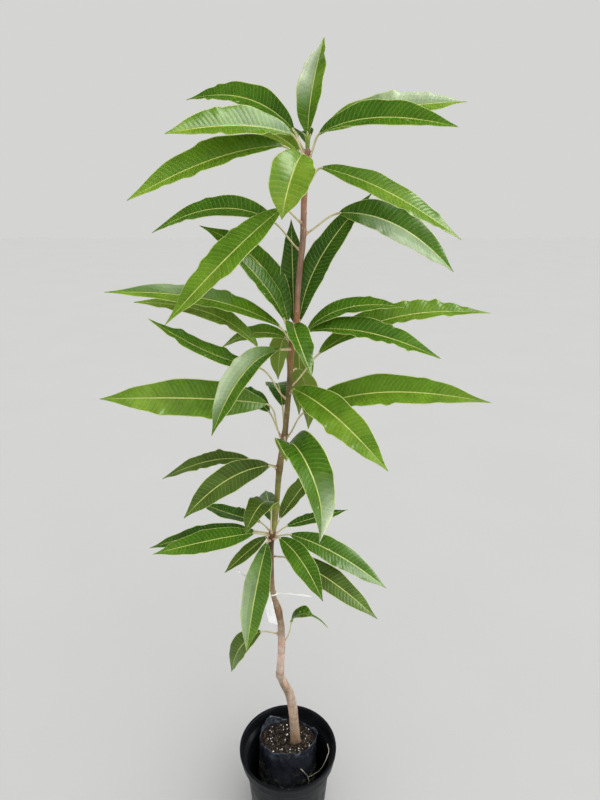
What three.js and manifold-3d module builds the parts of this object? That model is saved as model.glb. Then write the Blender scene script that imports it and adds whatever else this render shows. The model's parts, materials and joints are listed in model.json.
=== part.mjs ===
// A grafted mango sapling, about 1.16 m tall, standing in its black nursery bag inside a black plastic pot.
// Units are millimetres and +Z is up. The origin is the centre of the pot's flat underside.
// +X is the plant's right and +Y its back. A turn is an angle about +Z, from +X towards +Y, in degrees.
import * as THREE from "three";
import { mergeVertices } from "three/addons/utils/BufferGeometryUtils.js";
import Module from "manifold-3d";

const wasm = await Module();
wasm.setup();

// ---------------------------------------------------------------- driving dimensions

const GAP = 0.3; // clearance between pieces that touch

const POT = {
  height: 140,
  rimRadius: 80,
  lipHeight: 6,
  collarRadius: 77,
  collarBottom: 118,
  shoulderRadius: 70,
  footRadius: 61,
  wall: 2,
  floor: 2.5,
  sides: 48,
  holes: 8,
  holeRadius: 4.5,
  holeCircle: 50,
};

// The bag is a loft of ovals, from the pot's floor up to its open mouth.
const BAG = {
  base: { x: 0, y: 6, halfWidth: 46, halfDepth: 42 },
  top: { x: -1.5, y: 30.5, halfWidth: 49, halfDepth: 35 },
  topHeight: 121.5,
  film: 1.2,
  crease: 0.025, // depth of the creases, as a share of the radius
  belly: 0.05, // how far the sides swell at half height, as a share of the radius
  sides: 36,
  levels: 8,
  // Where the mouth stands up, by how much, how widely in degrees, and how far it flares out there.
  peaks: [
    { turn: 132, rise: 14, spread: 26, flare: 0 },
    { turn: 8, rise: 6.5, spread: 20, flare: 3.5 },
  ],
};

// flatShare is the size of the level patch under the stem, as a share of the soil's outline.
const SOIL = { top: 119, edge: 117.5, relief: 1.2, flatShare: 0.38, rings: 6 };

// The stem's centre line and radius: height, x, y, radius.
const STEM = [
  [SOIL.top + GAP, 12.2, 26, 9.5],
  [126, 12, 25.2, 8.5],
  [142, 11.4, 23.5, 7.9],
  [193, 8.4, 19, 7.7],
  [230, 3.9, 15.5, 7.9],
  [248, -1.1, 13.8, 7.5],
  [265, -7.2, 12.2, 7.1],
  [282, -11.6, 11, 6.5],
  [298, -11.1, 10, 6.1],
  [329, -9.1, 8.5, 5.7],
  [374, -8.5, 5.8, 5.4],
  [400, -10.5, 4, 5.2],
  [412, -12.5, 4, 6],
  [422, -15, 4, 5.8],
  [435, -19, 4, 4.5],
  [470, -22, 4, 4.1],
  [530, -21.5, 4, 4],
  [545, -20, 4, 4.4],
  [556, -18, 4, 4.1],
  [582, -14, 4, 3.9],
  [630, -10, 4, 4],
  [655, -7.5, 4, 4.6],
  [680, -4, 4, 4.2],
  [700, -1, 4, 4.3],
  [715, 1, 4, 3.8],
  [773, 6, 4, 3.7],
  [815, 9, 4, 3.7],
  [835, 11.5, 4, 4.1],
  [854, 15, 4, 4],
  [885, 17, 4, 3.6],
  [920, 19.5, 4, 3.5],
  [950, 23, 4, 3.5],
  [1007, 25, 4, 3.5],
  [1036, 27.5, 4, 3.9],
  [1054, 28.5, 4, 3],
];
const STEM_STEP = 10; // height between the stem's sections
const STEM_SIDES = 12;

const SLEEVE = 1.5; // thickness of the bark sleeve that each whorl's leaf stalks grow from
const SLEEVE_STEP = 8;

const LEAF = {
  stations: 10, // steps along the blade
  bend: 1.6, // how early the blade turns down: 1 is an even arc
  thickness: 0.011, // as a share of the blade's length
  stalkRadius: 1.3,
  stalkFoot: 2.1, // the swollen foot of the stalk
};

// Each whorl of leaves is one mass. A leaf's row: height on the stem, turn, stalk's length and rise,
// blade's length, its rise at the stalk and at the tip, its width, its roll about the midrib,
// how far it swings sideways towards the tip, and its fold, which is the angle between each half
// of the blade and the blade's own plane. Lengths are in mm and angles in degrees.
const WHORLS = [
  {
    name: "foliage_top",
    sleeve: [1034, 1062],
    leaves: [
      [1048, 60, 22, 88, 106, 85, 60, 36, 0, 0, 30],
      [1050, 140, 32, 50, 190, 40, -4, 40, 40, 0, 30],
      [1046, 215, 30, 48, 150, 13, -10, 44, 46, 0, 30],
      [1040, 210, 35, 29, 184, -2, -26, 42, 42, -3, 34],
      [1046, 253, 21, 6, 84, -20, -75, 51, 28, -26, 27],
      [1042, 133, 17, 34, 88, 32, 13, 37, 34, 0, 25],
      [1044, 321, 30, 57, 161, 21, -12, 40, -46, 8, 30],
      [1047, 16, 29, 58, 182, 24, 3, 40, -50, -2, 26],
      [1046, 95, 16, 60, 120, 25, -5, 28, 0, 0, 30],
    ],
  },
  {
    name: "foliage_upper",
    sleeve: [936, 1022],
    leaves: [
      [1016, 348, 26, 46, 179, -11, -34, 38, -37, 4, 15],
      [962, 12, 49, 28, 170, 3, -44, 47, -61, -7, 20],
      [975, 212, 34, 29, 186, -32, -44, 44, 31, -9, 18],
      [943, 161, 47, 42, 174, 28, -27, 42, 34, 2, 19],
    ],
  },
  {
    name: "foliage_middle",
    sleeve: [748, 856],
    leaves: [
      [841, 158, 18, 60, 172, 84, 18, 36, 40, 0, 18],
      [838, 199, 26, 62, 112, 68, 44, 34, 45, 0, 18],
      [846, 98, 13, 40, 124, 82, 78, 32, 0, 0, 18],
      [846, 20, 13, 61, 180, 84, 42, 34, -48, 0, 18],
      [834, 193, 24, 47, 212, 34, 2, 37, 31, 0, 20],
      [822, 185, 43, 5, 164, 54, 2, 38, 23, 0, 19],
      [755, 202, 62, 50, 148, 16, 38, 36, 23, -3, 14],
      [831, 162, 10, 27, 97, 22, -35, 30, 25, 0, 16],
      [822, 230, 21, 9, 150, 10, -58, 41, 8, 0, 28],
      [839, 356, 19, 23, 126, 49, -7, 34, -24, 3, 18],
      [772, 10, 57, 47, 238, 38, -6, 45, -27, -1, 29],
      [836, 344, 22, 28, 166, 14, -21, 41, -26, 0, 29],
      [849, 266, 24, 26, 90, 11, -57, 34, 10, 47, 32],
      [838, 83, 16, 10, 150, -25, -104, 40, 0, 0, 18],
      [840, 115, 15, 10, 92, -25, -88, 30, 0, 0, 18],
      [790, 60, 14, 10, 112, -30, -96, 34, 0, 0, 18],
      [763, 314, 12, 41, 168, -3, -34, 47, -34, 4, 22],
    ],
  },
  {
    name: "foliage_fork",
    sleeve: [688, 712],
    leaves: [
      [699, 196, 56, 66, 206, 14, 3, 50, 62, -4, 16],
      [697, 138, 42, 50, 116, 30, -30, 36, 20, 0, 15],
      [700, 341, 47, 55, 238, 35, -5, 48, -39, 2, 26],
      [702, 276, 37, -36, 202, 88, -99, 54, -8, 50, 37],
      [705, 97, 40, 45, 160, 25, -35, 38, 0, 0, 15],
    ],
  },
  {
    name: "foliage_pair",
    sleeve: [646, 664],
    leaves: [
      [655, 164, 45, 8, 150, -2, -33, 29, 30, -2, 22],
      [655, 202, 15, 20, 137, 8, -44, 38, 50, 0, 14],
    ],
  },
  {
    name: "foliage_lower",
    sleeve: [502, 560],
    leaves: [
      [547, 200, 28, 19, 140, 5, -4, 34, 30, 0, 8],
      [549, 169, 26, 2, 177, -5, -26, 35, 17, -3, 16],
      [551, 141, 25, 18, 139, -12, -8, 31, 9, -6, 19],
      [552, 248, 37, 86, 90, 88, -50, 37, 0, -10, 15],
      [540, 208, 10, 40, 76, -25, -34, 22, 15, 0, 15],
      [540, 242, 12, 10, 160, -55, -74, 38, 32, 0, 15],
      [542, 312, 20, 26, 108, 0, -52, 32, -34, 0, 15],
      [545, 345, 28, 15, 154, -8, -35, 38, -28, 0, 15],
      [512, 331, 26, 12, 152, 0, -31, 36, -30, 0, 15],
      [547, 27, 24, 18, 100, 3, 0, 24, -8, -5, 11],
      [551, 58, 23, 33, 131, 26, 4, 33, 3, 6, 21],
      [552, 97, 22, 12, 130, 0, -16, 34, 0, 0, 15],
    ],
  },
  {
    name: "leaf_base_left",
    sleeve: [364, 377],
    leaves: [[368, 189, 32, 14, 91, -18, -80, 36, 28, 0, 20]],
  },
  {
    name: "leaf_base_right",
    sleeve: [346, 360],
    leaves: [[353, 348, 42, 68, 72, 82, -50, 28, 0, 0, 25]],
  },
];

// The tie is a thin wire, once round the stem with both tails left long. The tag hangs on the left tail.
const TIE = {
  radius: 0.9,
  height: 446,
  leftEnd: [-68, -20, 504],
  rightEnd: [37, 2, 441],
  ringSteps: 20,
  sides: 8,
};
const TAG = {
  length: 67,
  width: 16,
  thickness: 0.8,
  along: 0.13, // where it hangs, as a share of the left tail
  lean: 10, // of its long axis from the vertical
  yaw: 30, // of its face from the front
  hole: 3.2,
  holeFromTop: 5,
  clip: 4, // of its two top corners
  slack: 0.4, // from the wire's centre down to the hole's centre
};

const COLOUR = {
  pot: 0x1c1f22,
  bag: 0x14161a,
  soil: 0x2b1f17,
  stem: 0x8a6a4e,
  tag: 0xe9ebea,
  tie: 0xe4e6e2,
  youngLeaf: 0x74952a,
  leaf: 0x4c7a22,
  oldLeaf: 0x4a6b2e,
};

// ---------------------------------------------------------------- helpers

const radians = THREE.MathUtils.degToRad;
const UP = new THREE.Vector3(0, 0, 1);

// A closed geometry as a manifold-3d solid, and back.
function solidOf(geometry) {
  const bare = geometry.clone();
  bare.deleteAttribute("normal");
  bare.deleteAttribute("uv");
  const merged = mergeVertices(bare, 1e-4);
  return new wasm.Manifold(
    new wasm.Mesh({
      numProp: 3,
      vertProperties: new Float32Array(merged.attributes.position.array),
      triVerts: new Uint32Array(merged.index.array),
    }),
  );
}

function geometryOf(solid) {
  const mesh = solid.getMesh();
  const geometry = new THREE.BufferGeometry();
  geometry.setAttribute("position", new THREE.BufferAttribute(mesh.vertProperties, 3));
  geometry.setIndex(new THREE.BufferAttribute(mesh.triVerts, 1));
  geometry.computeVertexNormals();
  return geometry;
}

// A closed skin over rings of points, each ring anticlockwise seen from its far side, with a fan
// over the first and the last ring. A ring of one point closes the skin to a tip.
function skin(rings) {
  const points = rings.flat();
  const faces = [];
  const sides = rings[0].length;
  let start = 0;
  for (let i = 0; i + 1 < rings.length; i++) {
    const next = start + sides;
    const tip = rings[i + 1].length === 1;
    for (let j = 0; j < sides; j++) {
      const k = (j + 1) % sides;
      if (tip) faces.push(start + j, start + k, next);
      else faces.push(start + j, start + k, next + k, start + j, next + k, next + j);
    }
    start = next;
  }
  for (let j = 1; j + 1 < sides; j++) {
    faces.push(0, j + 1, j);
    if (rings.at(-1).length > 1) faces.push(start, start + j, start + j + 1);
  }
  const geometry = new THREE.BufferGeometry();
  geometry.setAttribute(
    "position",
    new THREE.Float32BufferAttribute(points.flatMap((p) => [p.x, p.y, p.z]), 3),
  );
  geometry.setIndex(faces);
  return geometry;
}

// Column c of the stem's table at a height, on a smooth curve through its rows.
function stemValue(height, c) {
  const last = STEM.length - 1;
  const z = THREE.MathUtils.clamp(height, STEM[0][0], STEM[last][0]);
  const i = Math.min(STEM.findLastIndex((row) => row[0] <= z), last - 1);
  const slope = (k) => {
    const below = STEM[Math.max(k - 1, 0)];
    const above = STEM[Math.min(k + 1, last)];
    return (above[c] - below[c]) / (above[0] - below[0]);
  };
  const step = STEM[i + 1][0] - STEM[i][0];
  const t = (z - STEM[i][0]) / step;
  return (
    STEM[i][c] * (1 - t) ** 2 * (1 + 2 * t) +
    STEM[i + 1][c] * t ** 2 * (3 - 2 * t) +
    slope(i) * step * t * (1 - t) ** 2 -
    slope(i + 1) * step * t ** 2 * (1 - t)
  );
}

const stemPoint = (height) => new THREE.Vector3(stemValue(height, 1), stemValue(height, 2), height);
const stemRadius = (height) => stemValue(height, 3);

// A round skin about the stem's centre line between two heights. extra(share) is what it adds to
// the stem's radius at a share of the way up.
function aroundStem(from, to, step, extra) {
  const steps = Math.max(2, Math.round((to - from) / step));
  const rings = [];
  for (let i = 0; i <= steps; i++) {
    const height = from + ((to - from) * i) / steps;
    const centre = stemPoint(height);
    const radius = stemRadius(height) + extra(i / steps);
    const ring = [];
    for (let j = 0; j < STEM_SIDES; j++) {
      const turn = (2 * Math.PI * j) / STEM_SIDES;
      ring.push(new THREE.Vector3(Math.cos(turn), Math.sin(turn), 0).multiplyScalar(radius).add(centre));
    }
    rings.push(ring);
  }
  return skin(rings);
}

// ---------------------------------------------------------------- pot

// A turned shell with a rolled lip, a straight collar and a shoulder, on a flat foot with drain holes.
function pot() {
  const { wall, floor, height, rimRadius, lipHeight, collarRadius, collarBottom, shoulderRadius } = POT;
  const profile = [
    [0, 0],
    [POT.footRadius, 0],
    [shoulderRadius, collarBottom - 2],
    [collarRadius, collarBottom],
    [collarRadius, height - lipHeight],
    [rimRadius - 1, height - lipHeight],
    [rimRadius, height - lipHeight + 1],
    [rimRadius, height - 1.2],
    [rimRadius - 1.2, height],
    [collarRadius - wall + 0.6, height],
    [collarRadius - wall, height - 1.5],
    [collarRadius - wall, collarBottom + 1],
    [shoulderRadius - wall, collarBottom - 3],
    [POT.footRadius - wall, floor],
    [0, floor],
  ].map(([r, z]) => new THREE.Vector2(r, z));
  const shell = new THREE.LatheGeometry(profile, POT.sides).rotateX(Math.PI / 2);
  let solid = solidOf(shell);
  for (let i = 0; i < POT.holes; i++) {
    const turn = (2 * Math.PI * (i + 0.5)) / POT.holes;
    const drill = new THREE.CylinderGeometry(POT.holeRadius, POT.holeRadius, 4 * floor, 12);
    drill.rotateX(Math.PI / 2);
    drill.translate(POT.holeCircle * Math.cos(turn), POT.holeCircle * Math.sin(turn), 0);
    solid = solid.subtract(solidOf(drill));
  }
  return geometryOf(solid);
}

// ---------------------------------------------------------------- bag and soil

// What the peaks of the film's mouth add at a turn, to its height or to its flare.
function peaksAt(turn, key) {
  return BAG.peaks.reduce((sum, peak) => {
    const away = Math.abs(((THREE.MathUtils.radToDeg(turn) - peak.turn + 540) % 360) - 180);
    return sum + peak[key] * Math.exp(-((away / peak.spread) ** 2));
  }, 0);
}

const mouthHeight = (turn) => BAG.topHeight + peaksAt(turn, "rise");

const bagFoot = POT.floor + GAP;

// The point of the bag's wall at a turn and a height. inset draws it in.
function bagPoint(turn, z, inset) {
  const share = (z - bagFoot) / (BAG.topHeight - bagFoot);
  const mix = (key) => THREE.MathUtils.lerp(BAG.base[key], BAG.top[key], share);
  const waves = Math.sin(5 * turn + 7 * share) + 0.7 * Math.sin(9 * turn - 5 * share);
  const belly = 1 + BAG.belly * Math.sin(Math.PI * Math.min(share, 1));
  const swell = belly * (1 + BAG.crease * waves * (0.4 + 0.6 * Math.sin(Math.PI * Math.min(share, 1))));
  const outward = peaksAt(turn, "flare") * THREE.MathUtils.smoothstep(z, SOIL.top, BAG.topHeight + 6) - inset;
  const across = mix("halfWidth") * swell + outward;
  const deep = mix("halfDepth") * swell + outward;
  return new THREE.Vector3(mix("x") + across * Math.cos(turn), mix("y") + deep * Math.sin(turn), z);
}

// One ring of the bag's wall, whose height is a function of the turn.
function bagRing(inset, height) {
  return Array.from({ length: BAG.sides }, (_, j) => {
    const turn = (2 * Math.PI * j) / BAG.sides;
    return bagPoint(turn, height(turn), inset);
  });
}

// A height a share of the way from a foot up to the mouth.
const lift = (share, foot) => (turn) => foot + (mouthHeight(turn) - foot) * share;

// The film: up the outside to the mouth, and down the inside to its floor.
function bag() {
  const rings = [];
  for (let i = 0; i <= BAG.levels; i++) rings.push(bagRing(0, lift(i / BAG.levels, bagFoot)));
  for (let i = BAG.levels; i >= 0; i--) {
    rings.push(bagRing(BAG.film, lift(i / BAG.levels, bagFoot + BAG.film)));
  }
  return skin(rings);
}

// The root ball that fills the bag. Its top is a fan of rings about the stem's foot, level under the stem.
function soil() {
  const inset = BAG.film + 3 * GAP; // the creases of the film turn between the rings
  const foot = bagFoot + BAG.film + GAP;
  const rings = [];
  for (let i = 0; i < BAG.levels; i++) {
    rings.push(bagRing(inset, (turn) => Math.min(lift(i / BAG.levels, foot)(turn), SOIL.edge - SOIL.relief)));
  }
  const edge = bagRing(inset + 2 * GAP, () => SOIL.edge);
  const centre = stemPoint(SOIL.top);
  centre.z = SOIL.top;
  for (let i = 0; i < SOIL.rings; i++) {
    const bare = 1 - i / SOIL.rings; // 1 at the film and 0 on the level patch under the stem
    rings.push(
      edge.map((p, j) => {
        const q = p.clone().lerp(centre, (1 - bare) * (1 - SOIL.flatShare));
        const lumps = Math.sin(q.x / 5.3 + j) * Math.cos(q.y / 4.7 - i);
        const lump = 2 * SOIL.relief * lumps * Math.min(bare, 1 - bare);
        return q.setZ(SOIL.top - (SOIL.top - SOIL.edge) * bare ** 2 + lump);
      }),
    );
  }
  rings.push(edge.map((p) => p.clone().lerp(centre, 1 - SOIL.flatShare).setZ(SOIL.top)));
  rings.push([centre]);
  return skin(rings);
}

// ---------------------------------------------------------------- leaves

// Half the blade's width at a share of its length, as a share of the widest half: a lance shape.
const lance = (share) => Math.sin(Math.PI * share ** 0.82) ** 0.85;

// One leaf as a closed skin: a diamond section carried along the stalk and then the folded blade.
function leaf([height, turn, stalk, rise, length, start, end, width, roll, swing, fold]) {
  const aim = (elevation, azimuth) =>
    new THREE.Vector3(
      Math.cos(elevation) * Math.cos(azimuth),
      Math.cos(elevation) * Math.sin(azimuth),
      Math.sin(elevation),
    );
  const side = new THREE.Vector3();
  const face = new THREE.Vector3();
  const setFrame = (along, azimuth) => {
    side.set(Math.sin(azimuth), -Math.cos(azimuth), 0);
    face.crossVectors(side, along).normalize();
    side.applyAxisAngle(along, -radians(roll));
    face.applyAxisAngle(along, -radians(roll));
  };
  const section = (middle, half, droop, thick) => [
    middle.clone().addScaledVector(side, -half).addScaledVector(face, droop),
    middle.clone().addScaledVector(face, thick / 2),
    middle.clone().addScaledVector(side, half).addScaledVector(face, droop),
    middle.clone().addScaledVector(face, -thick / 2),
  ];
  const rings = [];
  const stalkAim = aim(radians(rise), radians(turn));
  setFrame(stalkAim, radians(turn));
  const foot = stemPoint(height).addScaledVector(aim(0, radians(turn)), stemRadius(height) + GAP + SLEEVE / 2);
  const middle = stemPoint(height).addScaledVector(stalkAim, stalk);
  rings.push(section(foot, LEAF.stalkFoot, 0, 2 * LEAF.stalkFoot));
  rings.push(section(foot.clone().lerp(middle, 0.4), LEAF.stalkRadius, 0, 2 * LEAF.stalkRadius));
  rings.push(section(middle, LEAF.stalkRadius, 0, 2 * LEAF.stalkRadius));
  const elevationAt = (share) => radians(end + (start - end) * (1 - share) ** LEAF.bend);
  const azimuthAt = (share) => radians(turn + swing * share);
  for (let i = 1; i <= LEAF.stations; i++) {
    const between = (i - 0.5) / LEAF.stations;
    const share = i / LEAF.stations;
    middle.addScaledVector(aim(elevationAt(between), azimuthAt(between)), length / LEAF.stations);
    if (i === LEAF.stations) {
      rings.push([middle.clone()]);
      break;
    }
    setFrame(aim(elevationAt(share), azimuthAt(share)), azimuthAt(share));
    const half = (lance(share) * width) / 2;
    const open = radians(fold);
    rings.push(section(middle, half * Math.cos(open), half * Math.sin(open), LEAF.thickness * length));
  }
  return skin(rings);
}

// The space that every mass keeps clear of: the stem and the gap round it.
const stemClearance = solidOf(aroundStem(STEM[0][0], STEM.at(-1)[0] + GAP, STEM_STEP, () => GAP));

// A mass of leaves: their stalks sink into a thin sleeve of bark that stands clear round the stem.
function whorl({ sleeve, leaves }) {
  const [from, to] = sleeve;
  const swell = (share) => GAP + SLEEVE * Math.sin(Math.PI * (0.15 + 0.7 * share)) ** 0.5;
  let solid = solidOf(aroundStem(from, to, SLEEVE_STEP, swell));
  for (const row of leaves) solid = solid.add(solidOf(leaf(row)));
  return geometryOf(solid.subtract(stemClearance));
}

// ---------------------------------------------------------------- tie and tag

// A round wire along a curve.
function wire(curve, steps) {
  const section = new THREE.Shape();
  section.absarc(0, 0, TIE.radius, 0, 2 * Math.PI);
  return new THREE.ExtrudeGeometry(section, { extrudePath: curve, steps, curveSegments: TIE.sides / 2 });
}

const tieRing = stemRadius(TIE.height) + GAP + TIE.radius;
const tieCentre = stemPoint(TIE.height);
const tieLeft = new THREE.Vector3(-tieRing, 0, 0).add(tieCentre);
const tieRight = new THREE.Vector3(tieRing, 0, 0).add(tieCentre);
const leftEnd = new THREE.Vector3(...TIE.leftEnd);
const rightEnd = new THREE.Vector3(...TIE.rightEnd);

// Once round the stem, and a tail out to each side.
function tie() {
  const ring = new THREE.TorusGeometry(tieRing, TIE.radius, TIE.sides, TIE.ringSteps);
  ring.translate(tieCentre.x, tieCentre.y, tieCentre.z);
  const left = wire(new THREE.LineCurve3(tieLeft, leftEnd), 1);
  const sag = tieRight.clone().lerp(rightEnd, 0.5).add(new THREE.Vector3(0, 0, 1.5));
  const right = wire(new THREE.QuadraticBezierCurve3(tieRight, sag, rightEnd), 4);
  const joined = solidOf(ring).add(solidOf(left)).add(solidOf(right));
  return geometryOf(joined.subtract(stemClearance));
}

// A blank strip with a clipped top and a hole that the wire runs through.
function tag() {
  const { length, width, thickness, hole, holeFromTop, clip } = TAG;
  const half = width / 2;
  const outline = new THREE.Shape([
    new THREE.Vector2(-half, -length + holeFromTop),
    new THREE.Vector2(half, -length + holeFromTop),
    new THREE.Vector2(half, holeFromTop - clip),
    new THREE.Vector2(half - clip, holeFromTop),
    new THREE.Vector2(clip - half, holeFromTop),
    new THREE.Vector2(-half, holeFromTop - clip),
  ]);
  outline.holes.push(new THREE.Path().absarc(0, 0, hole, 0, 2 * Math.PI));
  const plate = new THREE.ExtrudeGeometry(outline, { depth: thickness, bevelEnabled: false, curveSegments: 8 });
  return plate.translate(0, 0, -thickness / 2);
}

// The tag's place: its hole hangs on the wire, its face is turned and its lower end leans to the right.
function placeTag(mesh) {
  const face = new THREE.Matrix4().makeRotationX(Math.PI / 2);
  const turned = new THREE.Matrix4().makeRotationZ(-radians(TAG.yaw));
  const leaned = new THREE.Matrix4().makeRotationY(-radians(TAG.lean));
  mesh.applyMatrix4(leaned.multiply(turned).multiply(face));
  const down = new THREE.Vector3(Math.sin(radians(TAG.lean)), 0, -Math.cos(radians(TAG.lean)));
  mesh.position.copy(tieLeft.clone().lerp(leftEnd, TAG.along).addScaledVector(down, TAG.slack));
}

// ---------------------------------------------------------------- assembly

const plant = new THREE.Group();

function addPiece(name, geometry, color, roughness) {
  const mesh = new THREE.Mesh(geometry, new THREE.MeshStandardMaterial({ color, roughness, metalness: 0 }));
  mesh.name = name;
  plant.add(mesh);
  return mesh;
}

addPiece("pot", pot(), COLOUR.pot, 0.45);
addPiece("root_bag", bag(), COLOUR.bag, 0.35);
addPiece("soil", soil(), COLOUR.soil, 0.95);
addPiece(
  "trunk",
  geometryOf(solidOf(aroundStem(STEM[0][0], STEM.at(-1)[0], STEM_STEP, () => 0))),
  COLOUR.stem,
  0.75,
);
const leafColours = [COLOUR.youngLeaf, COLOUR.leaf, COLOUR.leaf, COLOUR.leaf];
WHORLS.forEach((mass, i) => {
  addPiece(mass.name, whorl(mass), leafColours[i] ?? COLOUR.oldLeaf, 0.4);
});
addPiece("label_tie", tie(), COLOUR.tie, 0.5);
placeTag(addPiece("label", tag(), COLOUR.tag, 0.5));

export default plant;
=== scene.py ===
"""Looks of a potted mango sapling: leaves, stalks, stem, nursery bag, soil, pot, tag and tie.

Sizes in the tables are millimetres, and every mesh is in metres. +Z is up, +X the plant's right, and -Y its
front. A turn is an angle about +Z, from +X towards +Y, in degrees.
"""

import json

import bpy
import numpy as np
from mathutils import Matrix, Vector


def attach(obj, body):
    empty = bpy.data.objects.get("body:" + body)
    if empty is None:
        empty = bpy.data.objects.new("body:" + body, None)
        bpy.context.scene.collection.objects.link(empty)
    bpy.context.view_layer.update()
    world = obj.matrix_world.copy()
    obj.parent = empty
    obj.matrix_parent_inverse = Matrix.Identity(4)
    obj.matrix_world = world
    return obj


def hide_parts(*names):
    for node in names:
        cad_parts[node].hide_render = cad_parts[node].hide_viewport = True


bl_info = {
    "name": "Potted mango sapling",
    "version": (1, 0, 0),
    "blender": (4, 5, 0),
    "location": "View3D > Sidebar > Sapling",
    "description": "Builds the leaves, stem, nursery bag, soil and pot of a young mango tree",
    "category": "Object",
}

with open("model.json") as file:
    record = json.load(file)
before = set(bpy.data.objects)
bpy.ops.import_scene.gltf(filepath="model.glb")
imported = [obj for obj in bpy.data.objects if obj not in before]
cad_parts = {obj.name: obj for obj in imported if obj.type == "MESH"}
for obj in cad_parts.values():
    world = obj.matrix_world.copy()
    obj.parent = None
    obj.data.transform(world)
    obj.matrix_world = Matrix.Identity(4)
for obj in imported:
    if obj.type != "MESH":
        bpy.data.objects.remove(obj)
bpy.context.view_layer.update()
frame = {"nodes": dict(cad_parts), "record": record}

MM = 0.001
TAU = 2 * np.pi

# ------------------------------------------------------------------ sizes shared with the solids

# The stem's centre line and radius: height, x, y, radius.
STEM = [
    [119.3, 12.2, 26, 9.5],
    [126, 12, 25.2, 8.5],
    [142, 11.4, 23.5, 7.9],
    [193, 8.4, 19, 7.7],
    [230, 3.9, 15.5, 7.9],
    [248, -1.1, 13.8, 7.5],
    [265, -7.2, 12.2, 7.1],
    [282, -11.6, 11, 6.5],
    [298, -11.1, 10, 6.1],
    [329, -9.1, 8.5, 5.7],
    [374, -8.5, 5.8, 5.4],
    [400, -10.5, 4, 5.2],
    [412, -12.5, 4, 6],
    [422, -15, 4, 5.8],
    [435, -19, 4, 4.5],
    [470, -22, 4, 4.1],
    [530, -21.5, 4, 4],
    [545, -20, 4, 4.4],
    [556, -18, 4, 4.1],
    [582, -14, 4, 3.9],
    [630, -10, 4, 4],
    [655, -7.5, 4, 4.6],
    [680, -4, 4, 4.2],
    [700, -1, 4, 4.3],
    [715, 1, 4, 3.8],
    [773, 6, 4, 3.7],
    [815, 9, 4, 3.7],
    [835, 11.5, 4, 4.1],
    [854, 15, 4, 4],
    [885, 17, 4, 3.6],
    [920, 19.5, 4, 3.5],
    [950, 23, 4, 3.5],
    [1007, 25, 4, 3.5],
    [1036, 27.5, 4, 3.9],
    [1054, 28.5, 4, 3],
]

# The columns of a leaf's row: its height on the stem, its turn, its stalk's length and rise, its blade's
# length, the blade's rise at the stalk and at the tip, its width, its roll about the midrib, its swing
# towards the tip, its fold, and its tone. The fold is the angle between each half of the blade and the
# blade's own plane.
HEIGHT, TURN, STALK, RISE, LENGTH, START, END, WIDTH, ROLL, SWING, FOLD, TONE = range(12)

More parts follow.
